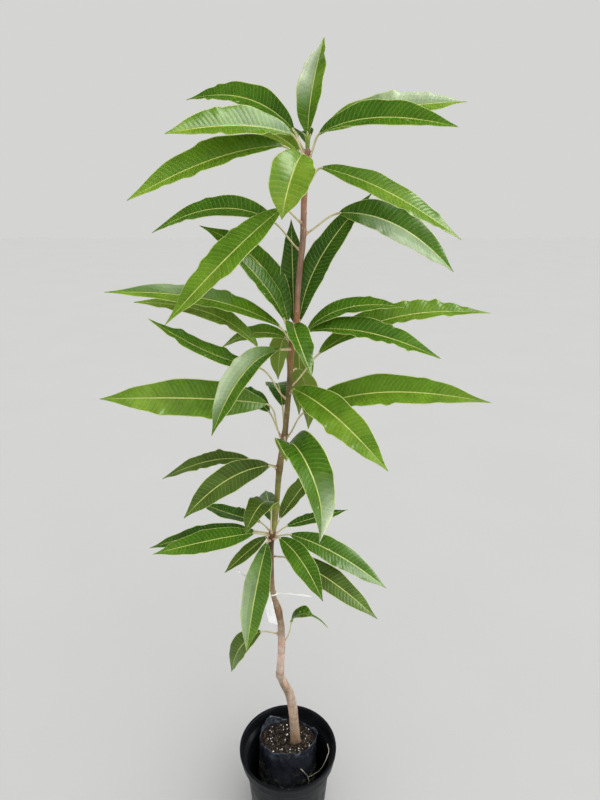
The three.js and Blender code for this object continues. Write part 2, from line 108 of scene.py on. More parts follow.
# The leaves of each whorl.
WHORLS = {
    "foliage_top": [
        [1048, 60, 22, 88, 106, 85, 60, 36, 0, 0, 30, "fresh"],
        [1050, 140, 32, 50, 190, 40, -4, 40, 40, 0, 30, "mid"],
        [1046, 215, 30, 48, 150, 13, -10, 44, 46, 0, 30, "fresh"],
        [1040, 210, 35, 29, 184, -2, -26, 42, 42, -3, 34, "fresh"],
        [1046, 253, 21, 6, 84, -20, -75, 51, 28, -26, 27, "lime"],
        [1042, 133, 17, 34, 88, 32, 13, 37, 34, 0, 25, "young"],
        [1044, 321, 30, 57, 161, 21, -12, 40, -46, 8, 30, "mid"],
        [1047, 16, 29, 58, 182, 24, 3, 40, -50, -2, 26, "fresh"],
        [1046, 95, 16, 60, 120, 25, -5, 28, 0, 0, 30, "deep"],
    ],
    "foliage_upper": [
        [1016, 348, 26, 46, 179, -11, -34, 38, -37, 4, 15, "fresh"],
        [962, 12, 49, 28, 170, 3, -44, 47, -61, -7, 20, "mid"],
        [975, 212, 34, 29, 186, -32, -44, 44, 31, -9, 18, "fresh"],
        [943, 161, 47, 42, 174, 28, -27, 42, 34, 2, 19, "mid"],
    ],
    "foliage_middle": [
        [841, 158, 18, 60, 172, 84, 18, 36, 40, 0, 18, "mid"],
        [838, 199, 26, 62, 112, 68, 44, 34, 45, 0, 18, "mid"],
        [846, 98, 13, 40, 124, 82, 78, 32, 0, 0, 18, "deep"],
        [846, 20, 13, 61, 180, 84, 42, 34, -48, 0, 18, "deep"],
        [834, 193, 24, 47, 212, 34, 2, 37, 31, 0, 20, "fresh"],
        # Painted light: lime makes this leaf lighter than its fresh green, to stand for light that falls on
        # it.
        [822, 185, 43, 5, 164, 54, 2, 38, 23, 0, 19, "lime"],
        [755, 202, 62, 50, 148, 16, 38, 36, 23, -3, 14, "mid"],
        [831, 162, 10, 27, 97, 22, -35, 30, 25, 0, 16, "fresh"],
        [822, 230, 21, 9, 150, 10, -58, 41, 8, 0, 28, "mid"],
        [839, 356, 19, 23, 126, 49, -7, 34, -24, 3, 18, "mid"],
        [772, 10, 57, 47, 238, 38, -6, 45, -27, -1, 29, "fresh"],
        [836, 344, 22, 28, 166, 14, -21, 41, -26, 0, 29, "mid"],
        [849, 266, 24, 26, 90, 11, -57, 34, 10, 47, 32, "mid"],
        [838, 83, 16, 10, 150, -25, -104, 40, 0, 0, 18, "deep"],
        [840, 115, 15, 10, 92, -25, -88, 30, 0, 0, 18, "deep"],
        [790, 60, 14, 10, 112, -30, -96, 34, 0, 0, 18, "deep"],
        [763, 314, 12, 41, 168, -3, -34, 47, -34, 4, 22, "fresh"],
    ],
    "foliage_fork": [
        [699, 196, 56, 66, 206, 14, 3, 50, 62, -4, 16, "fresh"],
        [697, 138, 42, 50, 116, 30, -30, 36, 20, 0, 15, "deep"],
        [700, 341, 47, 55, 238, 35, -5, 48, -39, 2, 26, "fresh"],
        [702, 276, 37, -36, 202, 88, -99, 54, -8, 50, 37, "mid"],
        [705, 97, 40, 45, 160, 25, -35, 38, 0, 0, 15, "deep"],
    ],
    "foliage_pair": [
        [655, 164, 45, 8, 150, -2, -33, 29, 30, -2, 22, "old"],
        [655, 202, 15, 20, 137, 8, -44, 38, 50, 0, 14, "old"],
    ],
    "foliage_lower": [
        [547, 200, 28, 19, 140, 5, -4, 34, 30, 0, 8, "mid"],
        [549, 169, 26, 2, 177, -5, -26, 35, 17, -3, 16, "deep"],
        [551, 141, 25, 18, 139, -12, -8, 31, 9, -6, 19, "deep"],
        [552, 248, 37, 86, 90, 88, -50, 37, 0, -10, 15, "old"],
        [540, 208, 10, 40, 76, -25, -34, 22, 15, 0, 15, "old"],
        [540, 242, 12, 10, 160, -55, -74, 38, 32, 0, 15, "mid"],
        [542, 312, 20, 26, 108, 0, -52, 32, -34, 0, 15, "mid"],
        [545, 345, 28, 15, 154, -8, -35, 38, -28, 0, 15, "mid"],
        [512, 331, 26, 12, 152, 0, -31, 36, -30, 0, 15, "old"],
        [547, 27, 24, 18, 100, 3, 0, 24, -8, -5, 11, "deep"],
        [551, 58, 23, 33, 131, 26, 4, 33, 3, 6, 21, "old"],
        [552, 97, 22, 12, 130, 0, -16, 34, 0, 0, 15, "deep"],
    ],
    "leaf_base_left": [[368, 189, 32, 14, 91, -18, -80, 36, 28, 0, 20, "old"]],
    "leaf_base_right": [[353, 348, 42, 68, 72, 82, -50, 28, 0, 0, 25, "mid"]],
}

# Curls in the edges of single leaves, by whorl and row. Each curl has its edge (1 is the right one, seen from
# the stalk), its share of the blade's length, and in millimetres its length and how far it lifts the edge.
CURLS = {
    ("foliage_top", 0): [(1, 0.76, 14, 4.0), (-1, 0.88, 8, -2.6)],
    ("foliage_top", 1): [(-1, 0.45, 12, 1.8), (-1, 0.70, 10, -1.6)],
    ("foliage_top", 3): [(-1, 0.38, 13, 2.2), (-1, 0.62, 12, -2.0), (-1, 0.80, 9, 1.6)],
    ("foliage_top", 4): [(-1, 0.35, 9, 2.2), (-1, 0.62, 9, -2.0)],
    ("foliage_middle", 4): [(1, 0.35, 13, 2.0), (1, 0.62, 12, -1.8)],
    ("foliage_middle", 10): [(-1, 0.40, 12, 2.4), (-1, 0.56, 11, -2.2), (-1, 0.70, 11, 2.8),
                             (-1, 0.84, 9, -2.0), (1, 0.52, 12, 1.8), (1, 0.74, 11, -1.6)],
    ("foliage_middle", 11): [(1, 0.40, 11, -2.2), (1, 0.58, 10, 2.4), (1, 0.76, 9, -2.0)],
    ("foliage_middle", 16): [(1, 0.30, 12, 2.8), (1, 0.50, 11, -2.4), (1, 0.70, 9, 1.8)],
    ("foliage_fork", 0): [(-1, 0.35, 14, -1.8), (-1, 0.66, 13, 1.8)],
    ("foliage_fork", 2): [(1, 0.26, 13, 2.4), (1, 0.50, 11, -2.0), (1, 0.74, 13, 2.6)],
    ("foliage_pair", 0): [(1, 0.30, 9, 1.8), (1, 0.58, 8, -1.6), (-1, 0.45, 9, 1.5)],
}

# Where a blade has a painted sheen, by whorl and row: pale faces that stand for the gloss of the light on one
# half. The columns are the edge on that side, the shares of the length where it starts and ends, and how
# strong it is at most.
PAINTED_SHEENS = {
    ("foliage_top", 0): (-1, 0.18, 1.2, 1.0),
    ("foliage_top", 7): (-1, 0.20, 1.3, 0.78),
    ("foliage_upper", 1): (1, 0.08, 1.3, 0.55),
    ("foliage_middle", 4): (1, 0.25, 0.95, 0.55),
    ("foliage_middle", 8): (1, 0.02, 0.98, 0.78),
    ("foliage_fork", 3): (-1, 0.52, 1.3, 1.15),
    ("foliage_lower", 5): (1, 0.05, 1.3, 0.60),
}
PAINTED_SHEEN_STEPS = 8
# The share of the length where a blade starts to narrow to its tip, and the share over which that sets in.
TAIL_FROM = 0.80
TAIL_OVER = 0.2
# Blades with a long thin tail, by whorl and row: the share where they start to narrow.
TAILS = {("leaf_base_right", 0): 0.40}

# Small scale leaves that close round the stem's tip, in the same columns.
BUD = [[1053, turn, 2.5, 75, 15, 86, 74, 5, 0, 0, 30, "young"] for turn in (20, 110, 200, 290)]

# The bag of film. base and top give its middle's x and y and its half sizes along them, at its foot and at
# its top. crease and belly are shares of its half sizes.
BAG = {
    "base": (0, 6, 46, 42),
    "top": (-1.5, 30.5, 49, 35),
    "foot": 2.8,
    "top_height": 121.5,
    "crease": 0.025,
    "belly": 0.05,
    # Where the mouth stands up: turn, spread in degrees, rise, and how far it flares out there.
    "peaks": [(132, 26, 14, 0), (8, 20, 6.5, 3.5)],
}
PEAK_RISE, PEAK_FLARE = 2, 3
# The mix's height in the middle and at the film.
SOIL_TOP = 119
SOIL_EDGE = 117.5

# The pot. rim, collar, shoulder and foot are outer radii from the top down, lip is how tall the lip at the
# rim is, and hole is a drain hole's radius. The holes stand on a circle of radius hole_circle.
POT = {
    "height": 140,
    "rim": 80,
    "lip": 6,
    "collar": 77,
    "collar_bottom": 118,
    "shoulder": 70,
    "foot": 61,
    "wall": 2,
    "floor": 2.5,
    "hole": 4.5,
    "hole_circle": 50,
    "holes": 8,
    # The radii where the floor's sectors meet the wall's foot, and where they meet the floor's middle.
    "seam": 57.5,
    "hub": 41,
    # How far from a corner its easing starts.
    "easing": 1.6,
}

# The wire tie: its own radius, its gap round the stem, its height, and where its two tails end.
TIE_RADIUS = 1.15
TIE_GAP = 0.3
TIE_HEIGHT = 446
TIE_LEFT = (-68, -20, 504)
TIE_RIGHT = (37, 2, 441)

# Roots that have found their way out of the bag: points along each.
ROOT_STRANDS = [
    [(21, -10.5, 95.5), (25, -10.8, 91), (28.5, -10.5, 86), (33.5, -9.6, 75), (34.8, -9.9, 68),
     (34.5, -11.3, 60)],
    [(67, 21, 116.6), (68, 14, 116.4), (68, 4, 116.3), (65, -3, 115), (60, -4, 98), (52, -2, 80),
     (45.5, 1.2, 70.5), (37, -7, 73.8), (33.5, -9.8, 75)],
]


# ------------------------------------------------------------------ settings

def distance(name, description, value, least=0.0):
    """A setting in metres."""
    return bpy.props.FloatProperty(
        name=name, description=description, default=value, min=least, subtype="DISTANCE", unit="LENGTH")


def tint(name, description, value):
    """A setting that is a colour."""
    return bpy.props.FloatVectorProperty(
        name=name, description=description, default=value, min=0.0, max=1.0, size=3, subtype="COLOR")


class SAPLING_PG_leaves(bpy.types.PropertyGroup):
    """Sizes and colours of the leaves."""

    vein_gap: distance("Vein gap", "Distance between neighbouring side veins", 0.0055, 0.003)
    wave: distance("Edge wave", "How far the blade's edge waves up and down", 0.0012)
    quilt: distance("Quilting", "How far the blade swells between its side veins", 0.00022)
    thickness: distance("Thickness", "Thickness of the blade", 0.0006, 0.0002)
    young: tint("Young", "Colour of the youngest leaves", (0.17, 0.27, 0.020))
    fresh: tint("Fresh", "Colour of the fresh leaves", (0.082, 0.180, 0.006))
    mid: tint("Mid", "Colour of most leaves", (0.044, 0.122, 0.004))
    # Painted shade in part: deep is a dark green, and it is also given to the leaves at the back of the crown
    # that stand in shade.
    deep: tint("Deep", "Colour of the shaded leaves", (0.025, 0.078, 0.005))
    old: tint("Old", "Colour of the oldest leaves", (0.053, 0.100, 0.009))
    rib: tint("Rib", "Colour of the midrib", (0.46, 0.50, 0.13))
    under: tint("Underside", "Colour of the blade's underside", (0.17, 0.25, 0.022))
    # Painted sheen: a pale colour that stands for the gloss of the light on some blades.
    painted_sheen: tint("Painted_sheen", "Colour of the pale bloom on some blades", (0.52, 0.58, 0.42))
    edge: tint("Edge", "Colour of the blade's edge", (0.44, 0.50, 0.15))
    mark: tint("Insect mark", "Colour of the marks that insects left", (0.34, 0.37, 0.22))


class SAPLING_PG_stem(bpy.types.PropertyGroup):
    """Sizes and colours of the stem and the stalks."""

    scar: distance("Leaf scars", "How far the old leaf scars stand out", 0.00055)
    fissure: distance("Fissures", "Depth of the fine cracks along the bark", 0.00012)
    stalk: tint("Stalk", "Colour of the leaf stalks", (0.50, 0.46, 0.24))
    stalk_foot: tint("Stalk foot", "Colour of the swollen foot of the stalks", (0.48, 0.34, 0.21))


class SAPLING_PG_pot(bpy.types.PropertyGroup):
    """Finish of the pot and the bag, and of what hangs on the stem."""

    plastic: tint("Pot", "Colour of the pot's plastic", (0.005, 0.006, 0.0075))
    film: tint("Film", "Colour of the bag's film", (0.012, 0.014, 0.020))
    crumple: distance("Crumple", "Depth of the creases in the film", 0.0014)
    tag: tint("Tag", "Colour of the blank tag", (0.98, 0.98, 0.98))
    tie: tint("Tie", "Colour of the wire tie's coat", (0.92, 0.92, 0.90))


class SAPLING_PG_soil(bpy.types.PropertyGroup):
    """The potting mix and the roots on it."""

    crumbs: bpy.props.IntProperty(name="Crumbs", description="Number of brown crumbs", default=1500, min=0)
    perlite: bpy.props.IntProperty(name="Perlite", description="Number of white grains", default=120, min=0)
    colour: tint("Soil", "Colour of the mix", (0.019, 0.014, 0.010))
    grain: tint("White grain", "Colour of the white grains", (0.72, 0.70, 0.65))
    root: tint("Root", "Colour of the root strands", (0.62, 0.56, 0.46))


class SAPLING_PG_stage(bpy.types.PropertyGroup):
    """Camera, floor and even light."""

    lens: bpy.props.FloatProperty(
        name="Lens", description="Focal length on a 36 mm sensor, in millimetres", default=27.0, min=5.0)
    pitch: bpy.props.FloatProperty(
        name="Pitch", description="How far the camera looks down", default=np.radians(21.2), subtype="ANGLE")
    floor: tint("Floor", "Colour of the floor", (0.43, 0.43, 0.42))
    sky: bpy.props.FloatProperty(name="Sky", description="Strength of the even light", default=1.0, min=0.0)


# ------------------------------------------------------------------ surfaces from arrays

def ripple(points, wavelength, seed, waves=14):
    """Smooth noise, mostly between -1 and 1: plane waves of about one wavelength, whose directions and phases
    are drawn from a seed, added up and divided by the root of their number."""
    rng = np.random.default_rng(seed)
    direction = rng.normal(size=(waves, 3))
    direction /= np.linalg.norm(direction, axis=1)[:, None]
    pace = TAU / (wavelength * rng.uniform(0.7, 1.4, waves))
    phase = rng.uniform(0, TAU, waves)
    return np.sin((points @ direction.T) * pace + phase).sum(-1) / np.sqrt(waves)


def add_to_scene(name, data):
    """A new object of the scene."""
    made = bpy.data.objects.new(name, data)
    bpy.context.scene.collection.objects.link(made)
    return made


class Skin:
    """Points and faces of one or more surfaces, joined into one mesh."""

    def __init__(self):
        self.points = []
        self.faces = []
        self.slots = []
        self.size = 0

    def add(self, points, faces, slots):
        """Adds a surface: its points, its faces as rows of three or four point numbers, and their slots."""
        self.points.append(np.asarray(points, float).reshape(-1, 3))
        self.faces.append(np.asarray(faces) + self.size)
        self.slots.append(np.broadcast_to(slots, len(faces)))
        self.size += len(self.points[-1])

    def loft(self, rings, slots=0, looped=False):
        """A grid of points, ring by ring along a path, with each ring closed. Each square of four neighbours
        is one face. looped joins the last ring to the first, and otherwise each end is fanned from its own
        middle. slots is one number, or one for each face of the grid."""
        rows, columns = rings.shape[:2]
        along = rows if looped else rows - 1
        i, j = np.meshgrid(np.arange(along), np.arange(columns), indexing="ij")
        k, n = (j + 1) % columns, (i + 1) % rows
        quads = np.stack([i * columns + j, i * columns + k, n * columns + k, n * columns + j], -1)
        slots = np.broadcast_to(slots, (along, columns))
        points = rings.reshape(-1, 3)
        base = self.size
        if not looped:
            points = np.concatenate([points, rings[0].mean(0)[None], rings[-1].mean(0)[None]])
        self.add(points, quads.reshape(-1, 4), slots.reshape(-1))
        if not looped:
            middle, last = rows * columns, (rows - 1) * columns
            j, k = j[0], k[0]
            first = np.stack([np.full(columns, middle), k, j], -1)
            end = np.stack([np.full(columns, middle + 1), last + j, last + k], -1)
            self.faces += [base + first, base + end]
            self.slots += [np.full(columns, slots[0, 0]), np.full(columns, slots[-1, 0])]

    def mesh(self, name, materials, smooth=True):
        """The object, in metres, at the origin."""
        loops = np.concatenate([f.reshape(-1) for f in self.faces])
        sizes = np.concatenate([np.full(len(f), f.shape[1]) for f in self.faces])
        mesh = bpy.data.meshes.new(name)
        mesh.vertices.add(self.size)
        mesh.vertices.foreach_set("co", (np.concatenate(self.points) * MM).ravel())
        mesh.loops.add(len(loops))
        mesh.loops.foreach_set("vertex_index", loops.astype(np.int32))
        mesh.polygons.add(len(sizes))
        mesh.polygons.foreach_set("loop_start", np.concatenate([[0], np.cumsum(sizes)[:-1]]).astype(np.int32))
        mesh.polygons.foreach_set("material_index", np.concatenate(self.slots).astype(np.int32))
        mesh.polygons.foreach_set("use_smooth", np.full(len(sizes), smooth))
        for material in materials:
            mesh.materials.append(material)
        mesh.update(calc_edges=True)
        if mesh.validate():
            raise RuntimeError(f"{name} had faces that had to be mended")
        return add_to_scene(name, mesh)


def place(piece, slot, *nodes):
    """Rides a finished piece on the one body and lets it stand for its solids. slot is not used."""
    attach(piece, "root")
    if nodes:
        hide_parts(*nodes)


def spline(points, steps):
    """A smooth curve through points: between neighbours, a cubic whose slopes are half the step between the
    points on either side."""
    p = np.asarray(points, float)
    slope = np.gradient(p, axis=0)
    t = np.linspace(0, len(p) - 1, steps)
    i = np.minimum(t.astype(int), len(p) - 2)
    s = (t - i)[:, None]
    return (p[i] * (1 - s) ** 2 * (1 + 2 * s) + p[i + 1] * s ** 2 * (3 - 2 * s)
            + slope[i] * s * (1 - s) ** 2 - slope[i + 1] * s ** 2 * (1 - s))


def tube(path, radius, sides=12):
    """Rings of points round a path: at each of its points, a circle of that radius square to the path."""
    along = np.gradient(path, axis=0)
    along /= np.linalg.norm(along, axis=1)[:, None]
    guide = np.array([0.0, 0.0, 1.0]) if abs(along[:, 2]).mean() < 0.8 else np.array([1.0, 0.0, 0.0])
    side = np.cross(guide, along)
    side /= np.linalg.norm(side, axis=1)[:, None]
    up = np.cross(along, side)
    turn = np.arange(sides) * TAU / sides
    radius = np.broadcast_to(radius, len(path))[:, None, None]
    circle = np.cos(turn)[:, None] * side[:, None] + np.sin(turn)[:, None] * up[:, None]
    return path[:, None] + radius * circle


# ------------------------------------------------------------------ finishes

class Finish:
    """A material with one principled shader, and short ways to add its pattern nodes."""

    def __init__(self, name, roughness=0.5, **values):
        self.material = bpy.data.materials.new(name)
        self.material.use_nodes = True
        self.tree = self.material.node_tree
        self.shader = self.tree.nodes["Principled BSDF"]
        self.shader.inputs["Roughness"].default_value = roughness
        for key, value in values.items():
            self.shader.inputs[key.replace("_", " ")].default_value = value
        self.place = self.node("ShaderNodeTexCoord").outputs["Object"]

    def node(self, kind, inputs=None, **settings):
        """A node with its settings, and its inputs as values or as other nodes' outputs."""
        made = self.tree.nodes.new(kind)
        for key, value in settings.items():
            setattr(made, key, value)
        for key, value in (inputs or {}).items():
            if isinstance(value, bpy.types.NodeSocket):
                self.tree.links.new(value, made.inputs[key])
            else:
                made.inputs[key].default_value = value
        return made

    def noise(self, scale, detail=3.0, stretch=(1, 1, 1), distortion=0.0, rough=0.5):
        """Smooth noise from 0 to 1, stretched along the axes."""
        place = self.node("ShaderNodeMapping", {"Vector": self.place, "Scale": stretch}).outputs[0]
        return self.node("ShaderNodeTexNoise", {
            "Vector": place, "Scale": scale, "Detail": detail, "Distortion": distortion, "Roughness": rough,
        }).outputs["Fac"]

    def cells(self, scale, stretch=(1, 1, 1)):
        """Distance to the nearest of scattered points."""
        place = self.node("ShaderNodeMapping", {"Vector": self.place, "Scale": stretch}).outputs[0]
        return self.node("ShaderNodeTexVoronoi", {"Vector": place, "Scale": scale}).outputs["Distance"]

    def ramp(self, value, stops):
        """A colour for a value: stops are positions and colours."""
        made = self.node("ShaderNodeValToRGB", {"Fac": value})
        ramp = made.color_ramp
        while len(ramp.elements) < len(stops):
            ramp.elements.new(1.0)
        for element, (position, colour) in zip(ramp.elements, stops):
            element.position = position
            element.color = (*colour, 1.0)
        return made.outputs["Color"]

    def span(self, value, low, high, to_low=0.0, to_high=1.0):
        """A value carried evenly from one range to another, and held at its ends."""
        return self.node("ShaderNodeMapRange", {
            "Value": value, "From Min": low, "From Max": high, "To Min": to_low, "To Max": to_high,
        }).outputs["Result"]

    def mix(self, share, first, second, blend="MIX"):
        """Two colours mixed by a share."""
        made = self.node("ShaderNodeMix", data_type="RGBA", blend_type=blend)
        for socket, value in zip((made.inputs[0], made.inputs[6], made.inputs[7]), (share, first, second)):
            if isinstance(value, bpy.types.NodeSocket):
                self.tree.links.new(value, socket)
            else:
                socket.default_value = value if isinstance(value, float) else (*value, 1.0)
        return made.outputs[2]

    def axis(self, name):
        """One coordinate of the object's own space, in metres."""
        return self.node("ShaderNodeSeparateXYZ", {"Vector": self.place}).outputs[name]

    def times(self, first, second):
        """The product of two values."""
        return self.node("ShaderNodeMath", {0: first, 1: second}, operation="MULTIPLY").outputs[0]

    def drift(self, value, low, high, colour, dark, light):
        """A colour that goes from darker to lighter as a value goes from low to high."""
        return self.ramp(value, [(low, shade(colour, dark)), (high, shade(colour, light))])

    def colour(self, value):
        """Links the base colour."""
        self.tree.links.new(value, self.shader.inputs["Base Color"])

    def roughness(self, value):
        """Links the roughness."""
        self.tree.links.new(value, self.shader.inputs["Roughness"])

    def bump(self, height, strength, distance):
        """Small relief from a height, in metres."""
        made = self.node("ShaderNodeBump", {"Height": height, "Strength": strength, "Distance": distance})
        self.tree.links.new(made.outputs[0], self.shader.inputs["Normal"])


def shade(colour, factor):
    """A colour made lighter or darker."""
    return tuple(min(1.0, c * factor) for c in colour)


def blade_finish(name, colour, roughness):
    """Waxy leaf surface: the colour drifts a little from place to place, with a fine grain in its gloss."""
    finish = Finish(name, roughness, Specular_IOR_Level=0.5, Specular_Tint=(0.92, 1.0, 0.84, 1.0),
                    Subsurface_Weight=0.3, Subsurface_Scale=0.0012, Subsurface_Radius=(0.9, 1.0, 0.25))
    finish.colour(finish.drift(finish.noise(38.0), 0.3, 0.72, colour, 0.82, 1.20))
    finish.roughness(finish.span(finish.noise(160.0), 0.3, 0.7, roughness - 0.05, roughness + 0.07))
    finish.bump(finish.noise(1300.0, 2.0), 0.03, 0.0004)
    return finish.material


def stalk_finish(name, colour, roughness=0.45):
    """Smooth stalk with faint lengthwise drift."""
    finish = Finish(name, roughness)
    finish.colour(finish.drift(finish.noise(120.0), 0.3, 0.7, colour, 0.82, 1.15))
    finish.bump(finish.noise(1500.0), 0.15, 0.0003)
    return finish.material


# The bark's colours up the stem, by the share of the way from the soil to the tip.
BARK = [
    (0.00, (0.22, 0.15, 0.08)),
    (0.035, (0.38, 0.28, 0.21)),
    (0.11, (0.42, 0.32, 0.27)),
    (0.155, (0.31, 0.235, 0.175)),
    (0.19, (0.55, 0.43, 0.37)),
    (0.24, (0.52, 0.39, 0.34)),
    (0.30, (0.36, 0.26, 0.17)),
    (0.43, (0.22, 0.15, 0.085)),
    (0.455, (0.14, 0.052, 0.030)),
    (0.475, (0.20, 0.21, 0.05)),
    (0.56, (0.20, 0.20, 0.045)),
    (0.60, (0.23, 0.15, 0.06)),
    (0.70, (0.17, 0.145, 0.037)),
    (0.78, (0.28, 0.13, 0.05)),
    (0.83, (0.26, 0.15, 0.10)),
    (1.00, (0.32, 0.19, 0.14)),
]
# Where crowded rings of scale scars show that a season's growth began: the lowest and the highest of each.
GROWTH_RINGS = ((402, 424), (532, 552), (646, 662), (690, 706), (828, 852), (1028, 1050))


def bark_finish():
    """Young bark whose colour changes up the stem, with patches, bands and streaks, darker rings where each
    season's growth began, and pale specks."""
    finish = Finish("young_bark", 0.62)
    foot, tip = SOIL_TOP, STEM[-1][0]
    up = finish.span(finish.axis("Z"), foot * MM, tip * MM)
    along = finish.ramp(up, BARK)
    patches = finish.ramp(finish.noise(52.0, 4.0, (1.0, 1.0, 0.6), 0.5, 0.6), [
        (0.34, (0.74, 0.80, 0.72)), (0.50, (1.0, 1.0, 1.0)), (0.66, (1.24, 1.05, 0.92))])
    along = finish.mix(1.0, along, patches, "MULTIPLY")
    bands = finish.ramp(finish.noise(88.0, 4.0, (0.30, 0.30, 1.5), 0.9, 0.62), [
        (0.34, (0.72, 0.63, 0.57)), (0.48, (1.0, 1.0, 1.0)), (0.66, (1.12, 1.14, 1.18))])
    banded = finish.mix(1.0, along, bands, "MULTIPLY")
    along = finish.mix(finish.span(up, 0.50, 0.30, 0.35, 0.95), along, banded)
    joints = []
    for ring in GROWTH_RINGS:
        low, high = ((height - foot) / (tip - foot) for height in ring)
        joints += [
            (low - 0.004, (1, 1, 1)),
            (low + 0.003, (0.55, 0.42, 0.36)),
            (high - 0.003, (0.66, 0.52, 0.44)),
            (high + 0.004, (1, 1, 1)),
        ]
    along = finish.mix(0.8, along, finish.mix(1.0, along, finish.ramp(up, joints), "MULTIPLY"))
    streaks = finish.noise(95.0, 6.0, (1.0, 1.0, 0.22), 0.6, 0.62)
    grain = finish.ramp(streaks, [(0.28, (0.52, 0.49, 0.44)), (0.72, (1.26, 1.22, 1.18))])
    toned = finish.mix(1.0, along, grain, "MULTIPLY")
    specks = finish.span(finish.cells(300.0, (1.0, 1.0, 0.6)), 0.0, 0.30, 1.0, 0.0)
    sparse = finish.times(specks, finish.span(finish.noise(75.0), 0.46, 0.58))
    finish.colour(finish.mix(finish.times(sparse, 0.7), toned, (0.62, 0.52, 0.38)))
    finish.roughness(finish.span(streaks, 0.3, 0.7, 0.5, 0.72))
    finish.bump(finish.noise(420.0, 7.0, (1.0, 1.0, 0.3), 0.4, 0.6), 0.35, 0.0006)
    return finish.material


def pot_finish(colour):
    """Moulded plastic: near black, a fine satin grain, and a little dust and scuffing near the rim."""
    finish = Finish("satin_pot_plastic", 0.40, Specular_IOR_Level=0.16)
    dust = finish.span(finish.noise(22.0, 6.0, (1, 1, 1.6), 0.8, 0.65), 0.52, 0.78)
    scuff = finish.span(finish.noise(150.0, 5.0, (1.0, 1.0, 0.35), 0.2, 0.7), 0.67, 0.72)
    near_rim = finish.span(finish.axis("Z"), 0.130, 0.140)
    tone = finish.mix(finish.times(dust, 0.20), colour, (0.040, 0.042, 0.045))
    finish.colour(finish.mix(finish.times(finish.times(scuff, near_rim), 0.85), tone, (0.42, 0.42, 0.42)))
    finish.roughness(finish.span(finish.noise(60.0, 5.0), 0.3, 0.7, 0.33, 0.52))
    finish.bump(finish.noise(900.0, 4.0), 0.10, 0.0005)
    return finish.material


def film_finish(colour):
    """Thin black film with soft highlights, hazy in places, with a painted highlight along its mouth and
    muddy low down.
    """
    finish = Finish("black_bag_film", 0.34)
    dirt = finish.span(finish.noise(45.0, 7.0, (1.0, 1.0, 2.4), 0.6, 0.65), 0.50, 0.62)
    low = finish.span(finish.axis("Z"), 0.094, 0.074)
    haze = finish.span(finish.noise(28.0, 5.0, (1, 1, 1), 0.5, 0.6), 0.45, 0.75)
    tone = finish.mix(finish.times(haze, 0.60), colour, (0.058, 0.067, 0.080))
    # Painted highlight: a pale blue-grey band along the crumpled mouth that stands for the light on it.
    near_mouth = finish.span(finish.axis("Z"), 0.106, 0.120)
    painted_highlight = finish.times(near_mouth, finish.span(finish.noise(120.0, 5.0), 0.46, 0.62))
    tone = finish.mix(finish.times(painted_highlight, 0.55), tone, (0.13, 0.15, 0.20))
    finish.colour(finish.mix(finish.times(finish.times(dirt, low), 0.85), tone, (0.17, 0.165, 0.085)))
    finish.roughness(finish.span(finish.noise(70.0, 5.0), 0.3, 0.7, 0.20, 0.40))
    finish.bump(finish.noise(240.0, 6.0, (1.0, 1.0, 0.7), 1.2, 0.6), 0.32, 0.0012)
    return finish.material


def soil_finish(name, colour):
    """Dull crumbly mix in several browns."""
    finish = Finish(name, 0.95, Specular_IOR_Level=0.15)
    grain = finish.noise(520.0, 7.0, rough=0.7)
    browns = [(0.25, shade(colour, 0.35)), (0.5, colour), (0.78, shade(colour, 2.6))]
    finish.colour(finish.ramp(grain, browns))
    finish.bump(finish.noise(800.0, 7.0, rough=0.7), 0.8, 0.0015)
    return finish.material


def pale_finish(name, colour, roughness, relief=0.2):
    """Pale plain surface with a faint drift in tone."""
    finish = Finish(name, roughness)
    finish.colour(finish.drift(finish.noise(140.0, 4.0), 0.3, 0.7, colour, 0.88, 1.06))
    finish.bump(finish.noise(700.0, 3.0), relief, 0.0004)
    return finish.material


# ------------------------------------------------------------------ stem

def stem_values(height):
    """x, y and radius of the stem at heights: cubics through the rows of STEM, whose slope at a row is the
    climb between its two neighbours."""
    rows = np.array(STEM, float)
    last = len(rows) - 1
    number = np.arange(last + 1)
    below, above = rows[np.maximum(number - 1, 0)], rows[np.minimum(number + 1, last)]
    slope = (above[:, 1:] - below[:, 1:]) / (above[:, :1] - below[:, :1])
    z = np.clip(np.asarray(height, float), rows[0, 0], rows[last, 0])
    i = np.clip(np.searchsorted(rows[:, 0], z, side="right") - 1, 0, last - 1)
    step = (rows[i + 1, 0] - rows[i, 0])[..., None]
    t = (z - rows[i, 0])[..., None] / step
    value = (rows[i, 1:] * (1 - t) ** 2 * (1 + 2 * t) + rows[i + 1, 1:] * t ** 2 * (3 - 2 * t)
             + slope[i] * step * t * (1 - t) ** 2 - slope[i + 1] * step * t ** 2 * (1 - t))
    return value[..., 0], value[..., 1], value[..., 2]


def bump_on_stem(height, turn, at_height, at_turn, tall, wide):
    """A round hump on the stem's skin: it fades with the distance up the stem and round it."""
    away = (turn - np.radians(at_turn) + np.pi) % TAU - np.pi
    return np.exp(-((height - at_height) / tall) ** 2 - (away / wide) ** 2)


STEM_ROWS = 700
STEM_SIDES = 80
# Marks on the stem are humps: how far each stands out, and how far it spreads up the stem in millimetres and
# round it in radians. First come the shelf under each leaf's foot and the small bud over it, by height above
# the foot.
LEAF_MARKS = [
    (-1.5, 0.8, 2.6, 0.5),
    (4.2, 0.7, 1.3, 0.25),
]
# The knob above the graft with its notch, and an old cut with its hollow, by height and turn.
STEM_MARKS = [
    (431, 335, 2.6, 3.6, 0.55),
    (439, 340, -1.0, 2.4, 0.5),
    (279, 185, 1.4, 5.5, 0.7),
    (281.5, 185, -0.9, 2.2, 0.35),
]
# Scars of fallen leaves: the lowest and the highest place of each stretch, and how many it has. Swollen nodes
# in the same way.
OLD_SCARS = ((140, 530, 34), (560, 1030, 30))
SWOLLEN_NODES = (165, 420, 16)


